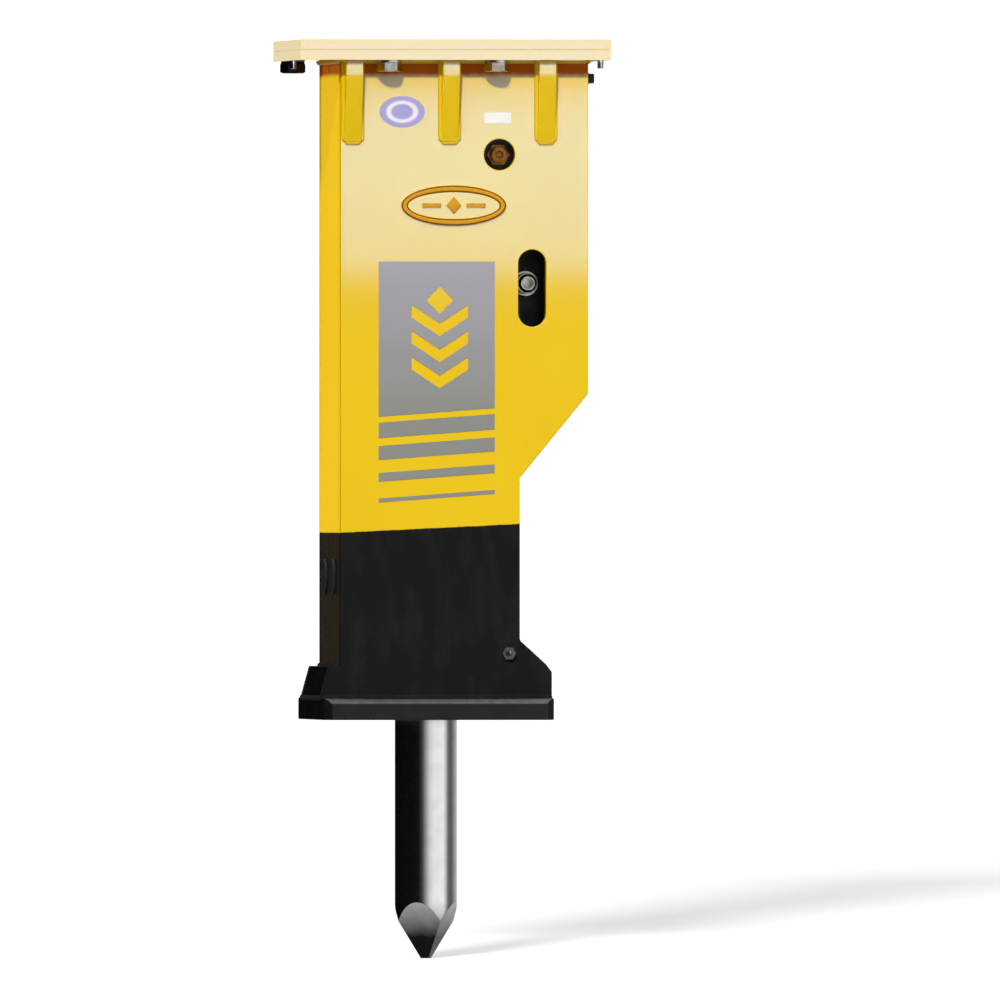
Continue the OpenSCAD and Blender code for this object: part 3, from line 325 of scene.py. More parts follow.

# %% [markdown]
# The tool is forged and ground bright. Its point is hardened. Towards the point the steel is
# painted dark, a painted reflection, which fades out over about 60 mm. Rings from the grinding
# wheel run round the shank.

# %% Tool steel
tool_steel, tree, place = new_material("ground_tool_steel_with_painted_dark_point")
at = split(tree, place)
patches = mathematics(tree, "MULTIPLY", noise(tree, place, 22.0, 4.0), 16 * MM)
height = mathematics(tree, "ADD", at["Z"], patches)
# Painted reflection: the steel turns dark towards the point.
painted_dark_point = ramp(tree, height, TIP + 42 * MM, TIP + 98 * MM, 1.0, 0.0)
stain = ramp(tree, noise(tree, place, 28.0, 6.0), 0.42, 0.72)
bright = blend_colours(tree, stain, colour("EEEEF0"), colour("E0E0E4"))
rings = noise(tree, place, 0.9, 4.0, ROUND_RINGS)
shade(tree, {
    "Base Color": blend_colours(tree, painted_dark_point, bright, colour("26241F")), "Metallic": 1.0,
    "Roughness": ramp(tree, rings, 0.25, 0.75, 0.12, 0.19),
}, rings, 0.004)

# %% [markdown]
# ### Rubbers, seals and films
# Nitrile rubber is black and dull. Cast polyurethane is waxy, and light goes a little way into
# it. The markings are vinyl film, printed on the back, with a faint grain.


# %% Soft parts and films
def polymer(name, hex_value, shadow_hex, roughness, grain_mm, depth_mm, depth_of_light=0.0):
    """A rubber, cast resin or film. depth_of_light is how far light goes in, in metres."""
    material, tree, place = new_material(name)
    cloud = ramp(tree, noise(tree, place, grain_mm * 12, 5.0), 0.35, 0.7)
    tone = blend_colours(tree, cloud, colour(hex_value), colour(shadow_hex))
    grain = noise(tree, place, grain_mm, 3.0)
    finish = ramp(tree, grain, 0.3, 0.7, roughness * 0.9, min(1.0, roughness * 1.15))
    sockets = {"Base Color": tone, "Roughness": finish, "IOR": 1.5}
    if depth_of_light:
        sockets.update({"Subsurface Weight": 0.15, "Subsurface Scale": depth_of_light})
    shade(tree, sockets, grain, depth_mm)
    return material


nitrile = polymer("nitrile_rubber", "1B1B1B", "262524", 0.62, 1.4, 0.04)
seal_resin = polymer("cast_polyurethane_seal", "4F6F9A", "44618A", 0.4, 1.0, 0.01, 0.002)
damper_resin = polymer("cast_polyurethane_damper", "8E3422", "79291A", 0.45, 2.0, 0.03, 0.003)
white_vinyl = polymer("vinyl_film_white", "F4F1EA", "EFEBE2", 0.4, 1.5, 0.006)

# %% [markdown]
# The large grey film is painted lighter towards its upper end: a painted reflection.

# %% Grey film with a painted reflection
grey_vinyl, tree, place = new_material("vinyl_film_grey_with_painted_reflection")
at = split(tree, place)
(_, _, panel_low), (_, _, panel_high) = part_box("panel_decal")
# Painted reflection: the film gets lighter towards its top.
painted_reflection_share = ramp(tree, at["Z"], panel_low, panel_high)
clouds = ramp(tree, noise(tree, place, 60.0, 5.0), 0.3, 0.9, 0.0, 0.12)
tone = blend_colours(tree, painted_reflection_share, colour("86877F"), colour("A29FA8"))
grain = noise(tree, place, 1.5, 3.0)
shade(tree, {
    "Base Color": blend_colours(tree, clouds, tone, colour("7C7B80")),
    "Roughness": ramp(tree, grain, 0.3, 0.7, 0.38, 0.48), "IOR": 1.5,
}, grain, 0.006)

# %% [markdown]
# The round marking is a pale lilac film with a white ring. The ring is an ellipse in the plane
# of the plate, so the distance from its centre is worked out from Object coordinates. A Mapping
# node centres them, and they are divided by the half sizes of the film.


# %% Ringed film
def oval_radius(tree, place, node):
    """How far out a point lies from the centre of a node's front: 0 there, and 1 on its oval."""
    low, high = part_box(node)
    centre = [(a + b) / 2 for a, b in zip(low, high)]
    reach = [max((b - a) / 2, MM) for a, b in zip(low, high)]
    moved = add(tree, "ShaderNodeMapping", {"Vector": place, "Location": [-c for c in centre]})
    squeeze = {0: moved.outputs[0], 1: (1 / reach[0], 0.0, 1 / reach[2])}
    flat = add(tree, "ShaderNodeVectorMath", squeeze, operation="MULTIPLY").outputs[0]
    return add(tree, "ShaderNodeVectorMath", {0: flat}, operation="LENGTH").outputs["Value"]


lilac_vinyl, tree, place = new_material("vinyl_film_lilac_ringed")
radius = oval_radius(tree, place, "round_decal")
RING_RADIUS = 0.6
off_ring = mathematics(tree, "ABSOLUTE", mathematics(tree, "SUBTRACT", radius, RING_RADIUS))
ring = ramp(tree, off_ring, 0.06, 0.16, 1.0, 0.0)
film = blend_colours(tree, ring, colour("A6A0D2"), colour("E9E4EE"))
shade(tree, {"Base Color": film, "Roughness": 0.42}, noise(tree, place, 1.5), 0.006)

# %% [markdown]
# ## Finishes of the CAD nodes
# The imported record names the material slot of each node. Each slot takes one finish, so the
# pieces inside the box are finished too, and show when the box is taken apart.

# %% Dress the CAD nodes
FINISH_OF_SLOT = {
    "yellow_enamel": yellow_enamel, "two_tone_enamel": two_tone_enamel, "black_enamel": black_enamel,
    "forged_steel": tool_steel, "ground_steel": ground_steel, "machined_casting": machined_casting,
    "zinc_plated": zinc_plate, "black_oxide": black_oxide, "bronze": bronze, "wear_plate": wear_plate,
    "nitrile_rubber": nitrile, "polyurethane_seal": seal_resin, "damper_rubber": damper_resin,
    "grey_vinyl": grey_vinyl, "lilac_vinyl": lilac_vinyl, "white_vinyl": white_vinyl,
}
SLOT_OF_NODE = {part["node"]: part["material_slot"] for part in frame["record"]["subparts"]}
BODY_OF_NODE = {
    node: body for body, nodes in frame["record"]["behaviour"]["bodies"].items() for node in nodes
}


def dress(piece, material):
    """Gives a mesh one material on all its faces."""
    piece.data.materials.clear()
    piece.data.materials.append(material)


def finish_of(node):
    """The badge has a finish of its own. Every other node takes its slot's."""
    return badge_enamel if node == "name_badge" else FINISH_OF_SLOT[SLOT_OF_NODE[node]]


for node_name, node_object in frame["nodes"].items():
    dress(node_object, finish_of(node_name))
print("dressed nodes:", len(frame["nodes"]))

# %% [markdown]
# ## Rounded copies of what shows
# Flame-cut plate, turned bar and moulded film have no knife edges. CAD leaves them sharp, so
# each visible node is copied. The copy's loose triangles are merged, its flat faces are made
# whole again, and then every edge sharper than 35 degrees is rounded. The copy stands for the
# node, in exactly the same place.

# %% Rounding
SHARP, FLAT = math.radians(35), math.radians(0.5)


def rounded(node, width_mm):
    """A copy of a CAD node with its sharp edges rounded by width_mm."""
    mesh = frame["nodes"][node].data.copy()
    solid = bmesh.new()
    solid.from_mesh(mesh)
    bmesh.ops.remove_doubles(solid, verts=solid.verts, dist=1e-6)
    bmesh.ops.dissolve_limit(solid, angle_limit=FLAT, verts=solid.verts, edges=solid.edges)
    sharp = [e for e in solid.edges if len(e.link_faces) == 2 and e.calc_face_angle() > SHARP]
    bmesh.ops.bevel(
        solid, geom=sharp, offset=width_mm * MM, offset_type="OFFSET", segments=2,
        profile=0.5, affect="EDGES", clamp_overlap=True,
    )
    solid.to_mesh(mesh)
    solid.free()
    mesh.shade_smooth()
    mesh.set_sharp_from_angle(angle=SHARP)
    piece = bpy.data.objects.new(node + "_rounded", mesh)
    bpy.context.scene.collection.objects.link(piece)
    keep = piece.modifiers.new("flat faces stay flat", "WEIGHTED_NORMAL")
    keep.keep_sharp = True
    dress(piece, finish_of(node))
    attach(piece, BODY_OF_NODE[node])
    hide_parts(node)
    return piece


ROUNDING_MM = {
    "top_plate": 1.5, "top_flange": 1.5, "front_side_plate": 1.5, "rear_side_plate": 1.5,
    "left_wall": 0.8, "right_wall": 0.8, "front_gussets": 2.5, "rear_gussets": 2.5,
    "bottom_plate": 2.0, "left_boot_plate": 1.0, "right_boot_plate": 1.0,
    "top_plate_bolts": 0.7, "top_plate_washers": 0.5, "dowel_pins": 0.8,
    "panel_decal": 0.2, "stripe_decals": 0.2, "round_decal": 0.2, "plain_label": 0.2,
    "pin_access_covers": 1.5, "side_plug": 0.6, "gas_valve": 0.5,
}
for node, width in ROUNDING_MM.items():
    rounded(node, width)
print("rounded copies:", len(ROUNDING_MM))

# %% [markdown]
# The cushion over the power cell is rounded like the rest, and its copy gets a mesh of its own.

# %% Upper cushion
cushion = rounded("upper_damper", 1.0)
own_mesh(cushion)

# %% [markdown]
# ## Surfaces from formulas
# The details below are grids of points. A grid has one row of points for each station along a
# path, and each row is a ring round it. `tube` joins neighbouring rings with four-sided faces
# and closes both ends. Its arrays are built whole, so a grid of any size takes no loop.


# %% Grids to meshes
def tube(rings):
    """Points and faces of a closed tube. rings has the shape stations x points round x 3."""
    stations, around = rings.shape[:2]
    here = np.arange(stations * around).reshape(stations, around)
    beside = np.roll(here, -1, axis=1)
    sides = np.stack([here[:-1], beside[:-1], beside[1:], here[1:]], axis=-1).reshape(-1, 4)
    return rings.reshape(-1, 3), sides.tolist() + [here[0, ::-1].tolist(), here[-1].tolist()]


def piece_of(name, tubes, material, body, slot, *nodes, smooth_to=40):
    """One mesh piece of several closed tubes. It rides on body, and stands for nodes."""
    points, faces, count = [], [], 0
    for rings in tubes:
        ring_points, ring_faces = tube(rings)
        points.append(ring_points)
        faces += [[i + count for i in face] for face in ring_faces]
        count += len(ring_points)
    mesh = bpy.data.meshes.new(name)
    mesh.from_pydata(np.concatenate(points).tolist(), [], faces)
    shell = bmesh.new()
    shell.from_mesh(mesh)
    bmesh.ops.remove_doubles(shell, verts=shell.verts, dist=1e-7)
    bmesh.ops.recalc_face_normals(shell, faces=shell.faces)
    shell.to_mesh(mesh)
    shell.free()
    mesh.shade_smooth()
    mesh.set_sharp_from_angle(angle=math.radians(smooth_to))
    piece = bpy.data.objects.new(name, mesh)
    bpy.context.scene.collection.objects.link(piece)
    dress(piece, material)
    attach(piece, body)
    if nodes:
        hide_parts(*nodes)
    return piece


# %% [markdown]
# ## Badge
# The casting is an oval dish with a half-round rim. Its rings are ovals, from the middle of the
# back out to the edge, over the rim and in to the middle of the face. A diamond and two bars
# stand on the face. Each is four-sided, and narrows towards its top.

# %% Cast badge
low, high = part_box("name_badge")
badge_middle = np.array([(low[0] + high[0]) / 2, 0.0, (low[2] + high[2]) / 2])
half_wide, half_high = (high[0] - low[0]) / 2, (high[2] - low[2]) / 2
RIM_WIDE, DISH_DEEP = 11 * MM, 2 * MM
SHAPE_BEVEL_MM = 0.8
round_angle = np.linspace(0, 2 * math.pi, 145)[:-1]


def oval(inwards, level):
    """An oval ring, the edge's half axes less inwards, at the distance level in front of y 0."""
    wide, tall = max(half_wide - inwards, 1e-5), max(half_high - inwards * 0.999, 1e-5)
    x, z = wide * np.cos(round_angle), tall * np.sin(round_angle)
    return badge_middle + np.stack([x, np.full_like(x, level), z], axis=-1)


over_rim = np.linspace(0, math.pi, 13)
rim_back = low[1] + DISH_DEEP
badge_rings = [oval(RIM_WIDE, FRONT), oval(0, FRONT), oval(0, rim_back + 0.3 * MM)]
badge_rings += [
    oval(RIM_WIDE / 2 * (1 - math.cos(a)), rim_back - DISH_DEEP * math.sin(a)) for a in over_rim
]
badge_rings += [oval(half_high * share, rim_back) for share in (0.5, 0.8, 1.0)]


def raised_shape(outline_mm, centre_mm):
    """A four-sided prism. Its foot is in the dish, and the bevel narrows its last 0.6 mm."""
    outline = np.array(outline_mm, float)
    shrink = 1 - SHAPE_BEVEL_MM / np.linalg.norm(outline, axis=1, keepdims=True)
    rows = []
    for scale, level in ((1.0, rim_back + 0.5 * MM), (1.0, low[1] + 0.6 * MM), (shrink, low[1])):
        x, z = ((outline * scale + centre_mm) * MM).T
        rows.append(badge_middle + np.stack([x, np.full_like(x, level), z], axis=-1))
    return np.stack(rows)


diamond = [(12, 0), (0, 14), (-12, 0), (0, -14)]
bar = [(15, 3.5), (-15, 3.5), (-15, -3.5), (15, -3.5)]
badge_tubes = [np.stack(badge_rings), raised_shape(diamond, (0, 0))]
badge_tubes += [raised_shape(bar, (side * 36, 0)) for side in (-1, 1)]
piece_of("cast_badge", badge_tubes, badge_enamel, "housing", "yellow_enamel", "name_badge",
         smooth_to=50)
print("badge half axes, mm:", round(half_wide / MM, 1), round(half_high / MM, 1))

# %% [markdown]
# ## Weld beads
# The box is welded from flame-cut plate. Where two plates meet at a corner there is a fillet
# bead, and where they lie flush, as along the box's upright edges, there is a low seam. The
# welder's pauses leave crescents about 4 mm apart. A bead is a section carried along the joint:
# a quarter of a circle for a fillet, and half of a flat ellipse for a seam.

# %% Beads
CRESCENT = 4.2 * MM
ROOT_DEEP = 0.4 * MM


def bead(start, end, side, up, reach_mm, height_mm, sweep=math.pi / 2):
    """Across the joint the angle a runs from 0 to sweep, and the surface lies at
    reach * cos(a) along side plus height * sin(a) along up. Both are multiplied by
    0.9 + 0.12 * |sin(pi * phase)|, where phase counts the crescents and lags in the middle.
    The ends fade away, and the root lies just inside the plates."""
    start, end, side, up = (np.array(v, float) for v in (start, end, side, up))
    length = np.linalg.norm(end - start)
    along = np.linspace(0, length, max(8, int(length / CRESCENT * 5)))[:, None]
    angle = np.linspace(0, sweep, 8)[None, :]
    phase = along / CRESCENT + 0.4 * np.sin(angle * math.pi / sweep)
    swell = 0.9 + 0.12 * np.abs(np.sin(math.pi * phase))
    end_round = np.sqrt(np.clip(np.minimum(along, length - along) / (reach_mm * MM), 0.02, 1))
    across = (reach_mm * MM * swell * end_round * np.cos(angle))[..., None] * side
    over = (height_mm * MM * swell * end_round * np.sin(angle))[..., None] * up
    middle = start + along[..., None] * (end - start) / length
    root = middle - ROOT_DEEP * (side * (sweep < math.pi) + up)
    return np.concatenate([middle + across + over, root], axis=1)


def seam(start, end, side, up):
    """A low, flush seam, 9 mm wide and 1.3 mm high."""
    return bead(start, end, side, up, 4.5, 1.3, sweep=math.pi)


# %% Weld the flange and its gussets
def points_of(node):
    """A node's points as an array, to the nearest 0.01 mm."""
    mesh = frame["nodes"][node].data
    flat_points = np.empty(len(mesh.vertices) * 3)
    mesh.vertices.foreach_get("co", flat_points)
    return flat_points.reshape(-1, 3).round(5)


FLANGE_BEAD, GUSSET_BEAD, GUSSET_TOP_BEAD, GUSSET_FOOT_BEAD = (6, 6), (5, 5), (4.5, 4.5), (4, 5)
DOWN = (0, 0, -1)
gusset_sides = np.unique(points_of("front_gussets")[:, 0])
GUSSET_FOOT = edge("front_gussets", "-z")
GUSSET_DEPTH = FRONT - edge("front_gussets", "-y")
under_flange = []
for face, out in ((FRONT, -1), (-FRONT, 1)):
    outwards = (0, out, 0)
    far = face + out * GUSSET_DEPTH
    stops_along = [LEFT, *gusset_sides, BAY]
    for x0, x1 in zip(stops_along[::2], stops_along[1::2]):
        start, end = (x0, face, FLANGE), (x1, face, FLANGE)
        under_flange.append(bead(start, end, outwards, DOWN, *FLANGE_BEAD))
    for i, x in enumerate(gusset_sides):
        aside = ((-1) ** (i + 1), 0, 0)
        corner, foot, tip = (x, face, FLANGE), (x, face, GUSSET_FOOT), (x, far, FLANGE)
        under_flange.append(bead(corner, foot, aside, outwards, *GUSSET_BEAD))
        under_flange.append(bead(corner, tip, aside, DOWN, *GUSSET_TOP_BEAD))
    for x0, x1 in zip(gusset_sides[::2], gusset_sides[1::2]):
        start, end = (x0, face, GUSSET_FOOT), (x1, face, GUSSET_FOOT)
        under_flange.append(bead(start, end, outwards, DOWN, *GUSSET_FOOT_BEAD))
for x, out in ((LEFT, -1), (BAY, 1)):
    start, end = (x, FRONT, FLANGE), (x, -FRONT, FLANGE)
    under_flange.append(bead(start, end, (out, 0, 0), DOWN, *FLANGE_BEAD))
piece_of("flange_welds", under_flange, yellow_enamel, "housing", "yellow_enamel")
print("beads under the flange:", len(under_flange))

# %% Weld the box's upright edges and the boot
def end_face(node):
    """Corners (x, z) of the end of a node that faces the rear, as an array."""
    points = points_of(node)
    return np.unique(points[points[:, 1] == points[:, 1].max()][:, [0, 2]], axis=0)


def outermost(corners, side):
    """The corners that no other corner is both further out than and as high as, from the top."""
    out, high = corners[:, 0] * side, corners[:, 1]
    beaten = (out[None, :] >= out[:, None]) & (high[None, :] >= high[:, None])
    kept = corners[beaten.sum(axis=1) == 1]
    return [tuple(corner) for corner in kept[np.argsort(-kept[:, 1])]]


WALL_END = abs(edge("left_wall", "+y"))
RIGHT = edge("right_boot_plate", "-x")
LEFT_BOOT_TOP, RIGHT_BOOT_TOP = edge("left_boot_plate", "+z"), edge("right_boot_plate", "+z")
wall = end_face("right_wall")
bay_turn = wall[np.isclose(wall[:, 0], BAY)][:, 1].min()
bay_end = wall[np.isclose(wall[:, 0], RIGHT)][:, 1].max()
left_foot, right_foot = edge("left_boot_plate", "-x"), edge("right_boot_plate", "+x")
left_line = [(LEFT, FLANGE), (LEFT, LEFT_BOOT_TOP)]
left_boot_line = outermost(end_face("left_boot_plate"), -1) + [(left_foot, BASE)]
right_line = [(BAY, FLANGE), (BAY, bay_turn), (RIGHT, bay_end), (RIGHT, RIGHT_BOOT_TOP)]
right_boot_line = outermost(end_face("right_boot_plate"), 1) + [(right_foot, BASE)]
BOOT_BEAD, BASE_BEAD = (6, 6), (7, 7)
UP = (0, 0, 1)

# The last stretch of the left boot's line is only a rounding error long and may run upwards, so
# on the left the way outwards is always given a negative x.
box_welds = []
for line, side in ((left_line, -1), (left_boot_line, -1), (right_line, 1), (right_boot_line, 1)):
    for (x0, z0), (x1, z1) in zip(line, line[1:]):
        outwards = np.array([z0 - z1, 0, x1 - x0]) * side
        outwards /= np.linalg.norm(outwards)
        if side < 0:
            outwards[0] = -abs(outwards[0])
        for y in (-WALL_END, WALL_END):
            box_welds.append(seam((x0, y, z0), (x1, y, z1), (0, 1, 0), outwards))
(x0, z0), (x1, z1) = right_boot_line[:2]
down_the_slope = np.array([x1 - x0, 0, z1 - z0]) / math.hypot(x1 - x0, z1 - z0)
for x, z, side, foot, along in (
    (LEFT, LEFT_BOOT_TOP, -1, left_foot, (-1.0, 0.0, 0.0)),
    (RIGHT, RIGHT_BOOT_TOP, 1, right_foot, down_the_slope),
):
    box_welds.append(bead((x, -WALL_END, z), (x, WALL_END, z), along, UP, *BOOT_BEAD))
    box_welds.append(seam((foot, FRONT, BASE), (foot, -FRONT, BASE), UP, (side, 0, 0)))
for face, out in ((FRONT, -1), (-FRONT, 1)):
    start, end = (-right_foot, face, BASE), (right_foot, face, BASE)
    box_welds.append(bead(start, end, (0, out, 0), UP, *BASE_BEAD))
piece_of("box_welds", box_welds, two_tone_enamel, "housing", "two_tone_enamel")
print("beads on the box:", len(box_welds))
print("bay turn and end, m:", bay_turn, bay_end)

# %% [markdown]
# ## Turned pieces
# Threads, hexagons and knurls are all a radius that depends on where a point is along the axis
# and on its angle round it. A piece is a list of runs. Each run has its two ends along the
# axis, the number of rings, and a rule that gives the radius.


# %% Lathe
FULL_TURN = 2 * math.pi


def lathe(centre, axis, runs, around=96):
    """Rings round axis, which starts at centre. A run is (start_mm, end_mm, rings, rule), and
    rule gives the radius in mm from arrays of the distance along the axis and of the angle."""
    axis = np.array(axis, float)
    side = np.array([1.0, 0, 0]) if abs(axis[0]) < 0.5 else np.array([0, 1.0, 0])
    up = np.cross(axis, side)
    angle = np.arange(around)[None, :] / around * FULL_TURN
    rows = []
    for start, end, rings, rule in runs:
        along = np.linspace(start, end, rings)[:, None]
        radius = rule(along, angle) + 0 * along + 0 * angle
        ring = np.cos(angle)[..., None] * side + np.sin(angle)[..., None] * up
        rows.append((along[..., None] * axis + radius[..., None] * ring) * MM + np.array(centre))
    return np.concatenate(rows)


def plain(radius):
    """A cylinder."""
    return lambda along, angle: radius


def cone(start, end, first, last):
    """A cone: the radius goes from first to last in a straight line."""
    return lambda along, angle: first + (last - first) * (along - start) / (end - start)


def hexagon(across_flats, top=None):
    """A hexagon: half its width over the cosine of the angle from the nearest flat's middle.
    Towards top, a 30 degree turned chamfer cuts its corners. 0.1 mm below top its circle is
    0.45 mm smaller in radius than half the width."""

    def rule(along, angle):
        off_flat = (angle + math.pi / 6) % (math.pi / 3) - math.pi / 6
        radius = across_flats / 2 / np.cos(off_flat)
        if top is None:
            return radius
        below_top = np.abs(top - along) - 0.1
        turned = across_flats / 2 + below_top * math.tan(math.radians(60)) - 0.45
        return np.minimum(radius, turned)

    return rule


def thread(outer, pitch):
    """A screw thread: the depth, 0.6 of the pitch, rises and falls evenly once each pitch,
    counted along the axis less the angle's share of a turn."""

    def rule(along, angle):
        phase = (along / pitch - angle / FULL_TURN) % 1.0
        return outer - 0.6 * pitch * (1 - np.abs(2 * phase - 1))

    return rule


RADIANS_PER_MM = 0.12


def knurl(outer, teeth, depth):
    """A diamond knurl: two sets of slanting grooves, each a rectified sine of the angle, which
    leans by RADIANS_PER_MM along the axis."""

    def rule(along, angle):
        lean = along * RADIANS_PER_MM
        forwards = np.abs(np.sin(teeth / 2 * (angle + lean)))
        backwards = np.abs(np.sin(teeth / 2 * (angle - lean)))
        return outer - depth * (1 - forwards * backwards)

    return rule


# %% [markdown]
# The hose adapters are zinc-plated steel: a hexagon, then a 1 5/16 inch thread of 12 turns to
# the inch, then a 35 degree cone round the bore. They stand at the front and rear of the valve
# block, inside the slots.

# %% Hose adapters
low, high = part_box("hose_adapters")
adapter_x, adapter_z = (low[0] + high[0]) / 2, (low[2] + high[2]) / 2
hex_across = (high[2] - low[2]) / MM
block_face = abs(edge("valve_block", "-y")) / MM
mouth = abs(low[1]) / MM
THREAD_R, BORE_R, STUD_R, NECK_R = 16.65, 9.0, 13.0, 14.15
INCH_MM = 25.4
hex_end, cone_start = block_face + 18, mouth - 6
adapter_runs = [
    (block_face - 20, block_face, 2, plain(STUD_R)),
    (block_face, block_face + 16, 3, hexagon(hex_across)),
    (block_face + 16, hex_end, 8, hexagon(hex_across, hex_end)),
    (hex_end, hex_end + 4, 2, plain(NECK_R)),
    (hex_end + 4, cone_start, 90, thread(THREAD_R, INCH_MM / 12)),
    (cone_start, mouth, 3, cone(cone_start, mouth, THREAD_R - 1.4, THREAD_R - 5.6)),
    (mouth, mouth - 30, 3, plain(BORE_R)),
]
adapters = [lathe((adapter_x, 0, adapter_z), (0, side, 0), adapter_runs) for side in (-1, 1)]
piece_of("threaded_hose_adapters", adapters, zinc_plate, "power_cell", "zinc_plated", "hose_adapters",
         smooth_to=30)
print("hose adapters at, m:", round(adapter_x, 4), round(adapter_z, 4))

# %% [markdown]
# The gas charging valve is closed by a knurled bronze cap that a hand can turn. A hexagonal
# socket in its end takes a key.

# %% Cap of the gas charging valve
low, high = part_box("gas_valve_cap")
cap_x, cap_z = (low[0] + high[0]) / 2, (low[2] + high[2]) / 2
cap_r = (high[0] - low[0]) / 2 / MM
inner_end, outer_end = -high[1] / MM, -low[1] / MM
cap_runs = [
    (inner_end + 6, inner_end, 2, plain(cap_r - 4)),
    (inner_end, inner_end + 0.8, 2, cone(inner_end, inner_end + 0.8, cap_r - 0.8, cap_r)),
    (inner_end + 0.8, outer_end - 2.5, 24, knurl(cap_r, 44, 0.6)),
    (outer_end - 2.5, outer_end, 5, cone(outer_end - 2.5, outer_end, cap_r, cap_r - 2.6)),
    (outer_end, outer_end - 4, 4, hexagon(12)),
]
cap = lathe((cap_x, 0, cap_z), (0, -1, 0), cap_runs, around=176)
piece_of("knurled_gas_cap", [cap], bronze, "power_cell", "bronze", "gas_valve_cap")
print("gas cap radius, mm:", round(cap_r, 1))

# %% [markdown]
# ## Tool
# The tool's surface is a turned bar cut by planes. Seen from the axis, a plane's distance
# divided by the cosine of the angle from its middle is its radius, and the smallest radius
# wins. Four planes lean in to the point. Two more, in front and behind, make the flats that
# the retaining pins sit in. They end in arcs a little wider than the pins.

# %% Turned tool
low, high = (np.array(corner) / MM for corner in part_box("tool"))
TOOL_R, TOOL_LONG = (high[0] - low[0]) / 2, high[2] - low[2]
POINT_LONG, POINT_FLAT, POINT_TURN = 90.0, 13.0, math.radians(66)
STUB_R, STUB_LONG, TAPER = TOOL_R - 6, 40.0, 10.0
pin_low, pin_high = (np.array(corner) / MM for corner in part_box("rod_pins"))
PIN_R = (pin_high[2] - pin_low[2]) / 2
PIN_Y = pin_high[1] - PIN_R
PIN_Z = (pin_low[2] + pin_high[2]) / 2 - low[2]
FLAT_HIGH, FLAT_LOW = PIN_Z + 0.1, PIN_Z - 47.0
FLAT_Y, ARC_R = PIN_Y - PIN_R - 0.3, PIN_R + 0.2


def pointed(along, angle):
    """The bar's radius, or the distance of the nearest leaning plane over a cosine."""
    off_middle = (angle - POINT_TURN + math.pi / 4) % (math.pi / 2) - math.pi / 4
    lean = (TOOL_R - POINT_FLAT / 2) / POINT_LONG
    return np.minimum(TOOL_R, (POINT_FLAT / 2 + along * lean) / np.cos(off_middle))


def flatted(along, angle):
    """The bar's radius, or the flat's distance over a sine. Past its ends the flat is an arc
    round the pin: the pin's Y less the square root of the arc's radius squared less the
    distance past the end squared."""
    past = np.maximum(np.maximum(along - FLAT_HIGH, FLAT_LOW - along), 0)
    arc = PIN_Y - np.sqrt(np.maximum(ARC_R ** 2 - past ** 2, 0))
    reach = np.where(past > 0, np.maximum(arc, FLAT_Y), FLAT_Y)
    return np.minimum(TOOL_R, reach / np.maximum(np.abs(np.sin(angle)), 1e-3))


shoulder, stub = TOOL_LONG - STUB_LONG - TAPER, TOOL_LONG - STUB_LONG
tool_rings = lathe((0.0, 0.0, low[2] * MM), (0, 0, 1), [
    (0.0, POINT_LONG + 1, 150, pointed), (POINT_LONG + 6, FLAT_LOW - ARC_R - 1, 12, plain(TOOL_R)),
    (FLAT_LOW - ARC_R, FLAT_HIGH + ARC_R, 90, flatted),
    (FLAT_HIGH + ARC_R + 1, shoulder, 4, plain(TOOL_R)), (stub, stub, 1, plain(STUB_R)),
    (TOOL_LONG - 3, TOOL_LONG - 3, 1, plain(STUB_R)), (TOOL_LONG, TOOL_LONG, 1, plain(STUB_R - 3)),
], around=240)
piece_of("turned_tool", [tool_rings], tool_steel, "tool", "forged_steel", "tool", smooth_to=24)
print("tool radius and length, mm:", TOOL_R, round(TOOL_LONG, 1))

# %% [markdown]
# ## Studio
# A white room with no corners: a pale floor under a pale sky. A distant lamp at the front left,
# 34 degrees up, models the hammer and shades the plates under the flange. Weaker lamps fill the
# left wall, the gussets, the right and the rear. A low lamp only draws the long shadow on the
# floor. Softboxes in front show only as reflections, high on the glossy front and along the
# flange, and two cards show only in what faces left. What shiny parts see of the room is dark
# on the left and bright on the right, which gives round bars their shape.

# %% Floor
floor_data = bpy.data.meshes.new("floor")
FLOOR_REACH = 500.0
floor_data.from_pydata(
    [(x * FLOOR_REACH, y * FLOOR_REACH, TIP) for x, y in ((-1, -1), (1, -1), (1, 1), (-1, 1))],
    [], [(0, 1, 2, 3)],
)
floor = bpy.data.objects.new("floor", floor_data)
bpy.context.scene.collection.objects.link(floor)
floor_paint, tree, place = new_material("studio_floor_paint")
grain = noise(tree, place, 400.0, 2.0)
tone = blend_colours(tree, grain, colour("E9E9E9"), colour("E6E6E6"))
shade(tree, {
    "Base Color": tone, "Roughness": 0.9, "Specular IOR Level": 0.0,
    "Emission Color": (1.0, 1.0, 1.0, 1.0), "Emission Strength": 0.44,
})
dress(floor, floor_paint)
floor.visible_glossy = False
floor.visible_diffuse = False

# %% Sky: white to the eye, soft to matt surfaces, dark left and bright right to shiny ones
world = bpy.data.worlds.new("studio")
bpy.context.scene.world = world
world.use_nodes = True
tree = world.node_tree
tree.nodes.clear()
direction = add(tree, "ShaderNodeTexCoord").outputs["Generated"]
at = split(tree, direction)
front = mathematics(tree, "MULTIPLY", at["Y"], -1.0)
turn = mathematics(tree, "ARCTAN2", at["X"], front)
turn_share = ramp(tree, turn, -math.pi, math.pi)
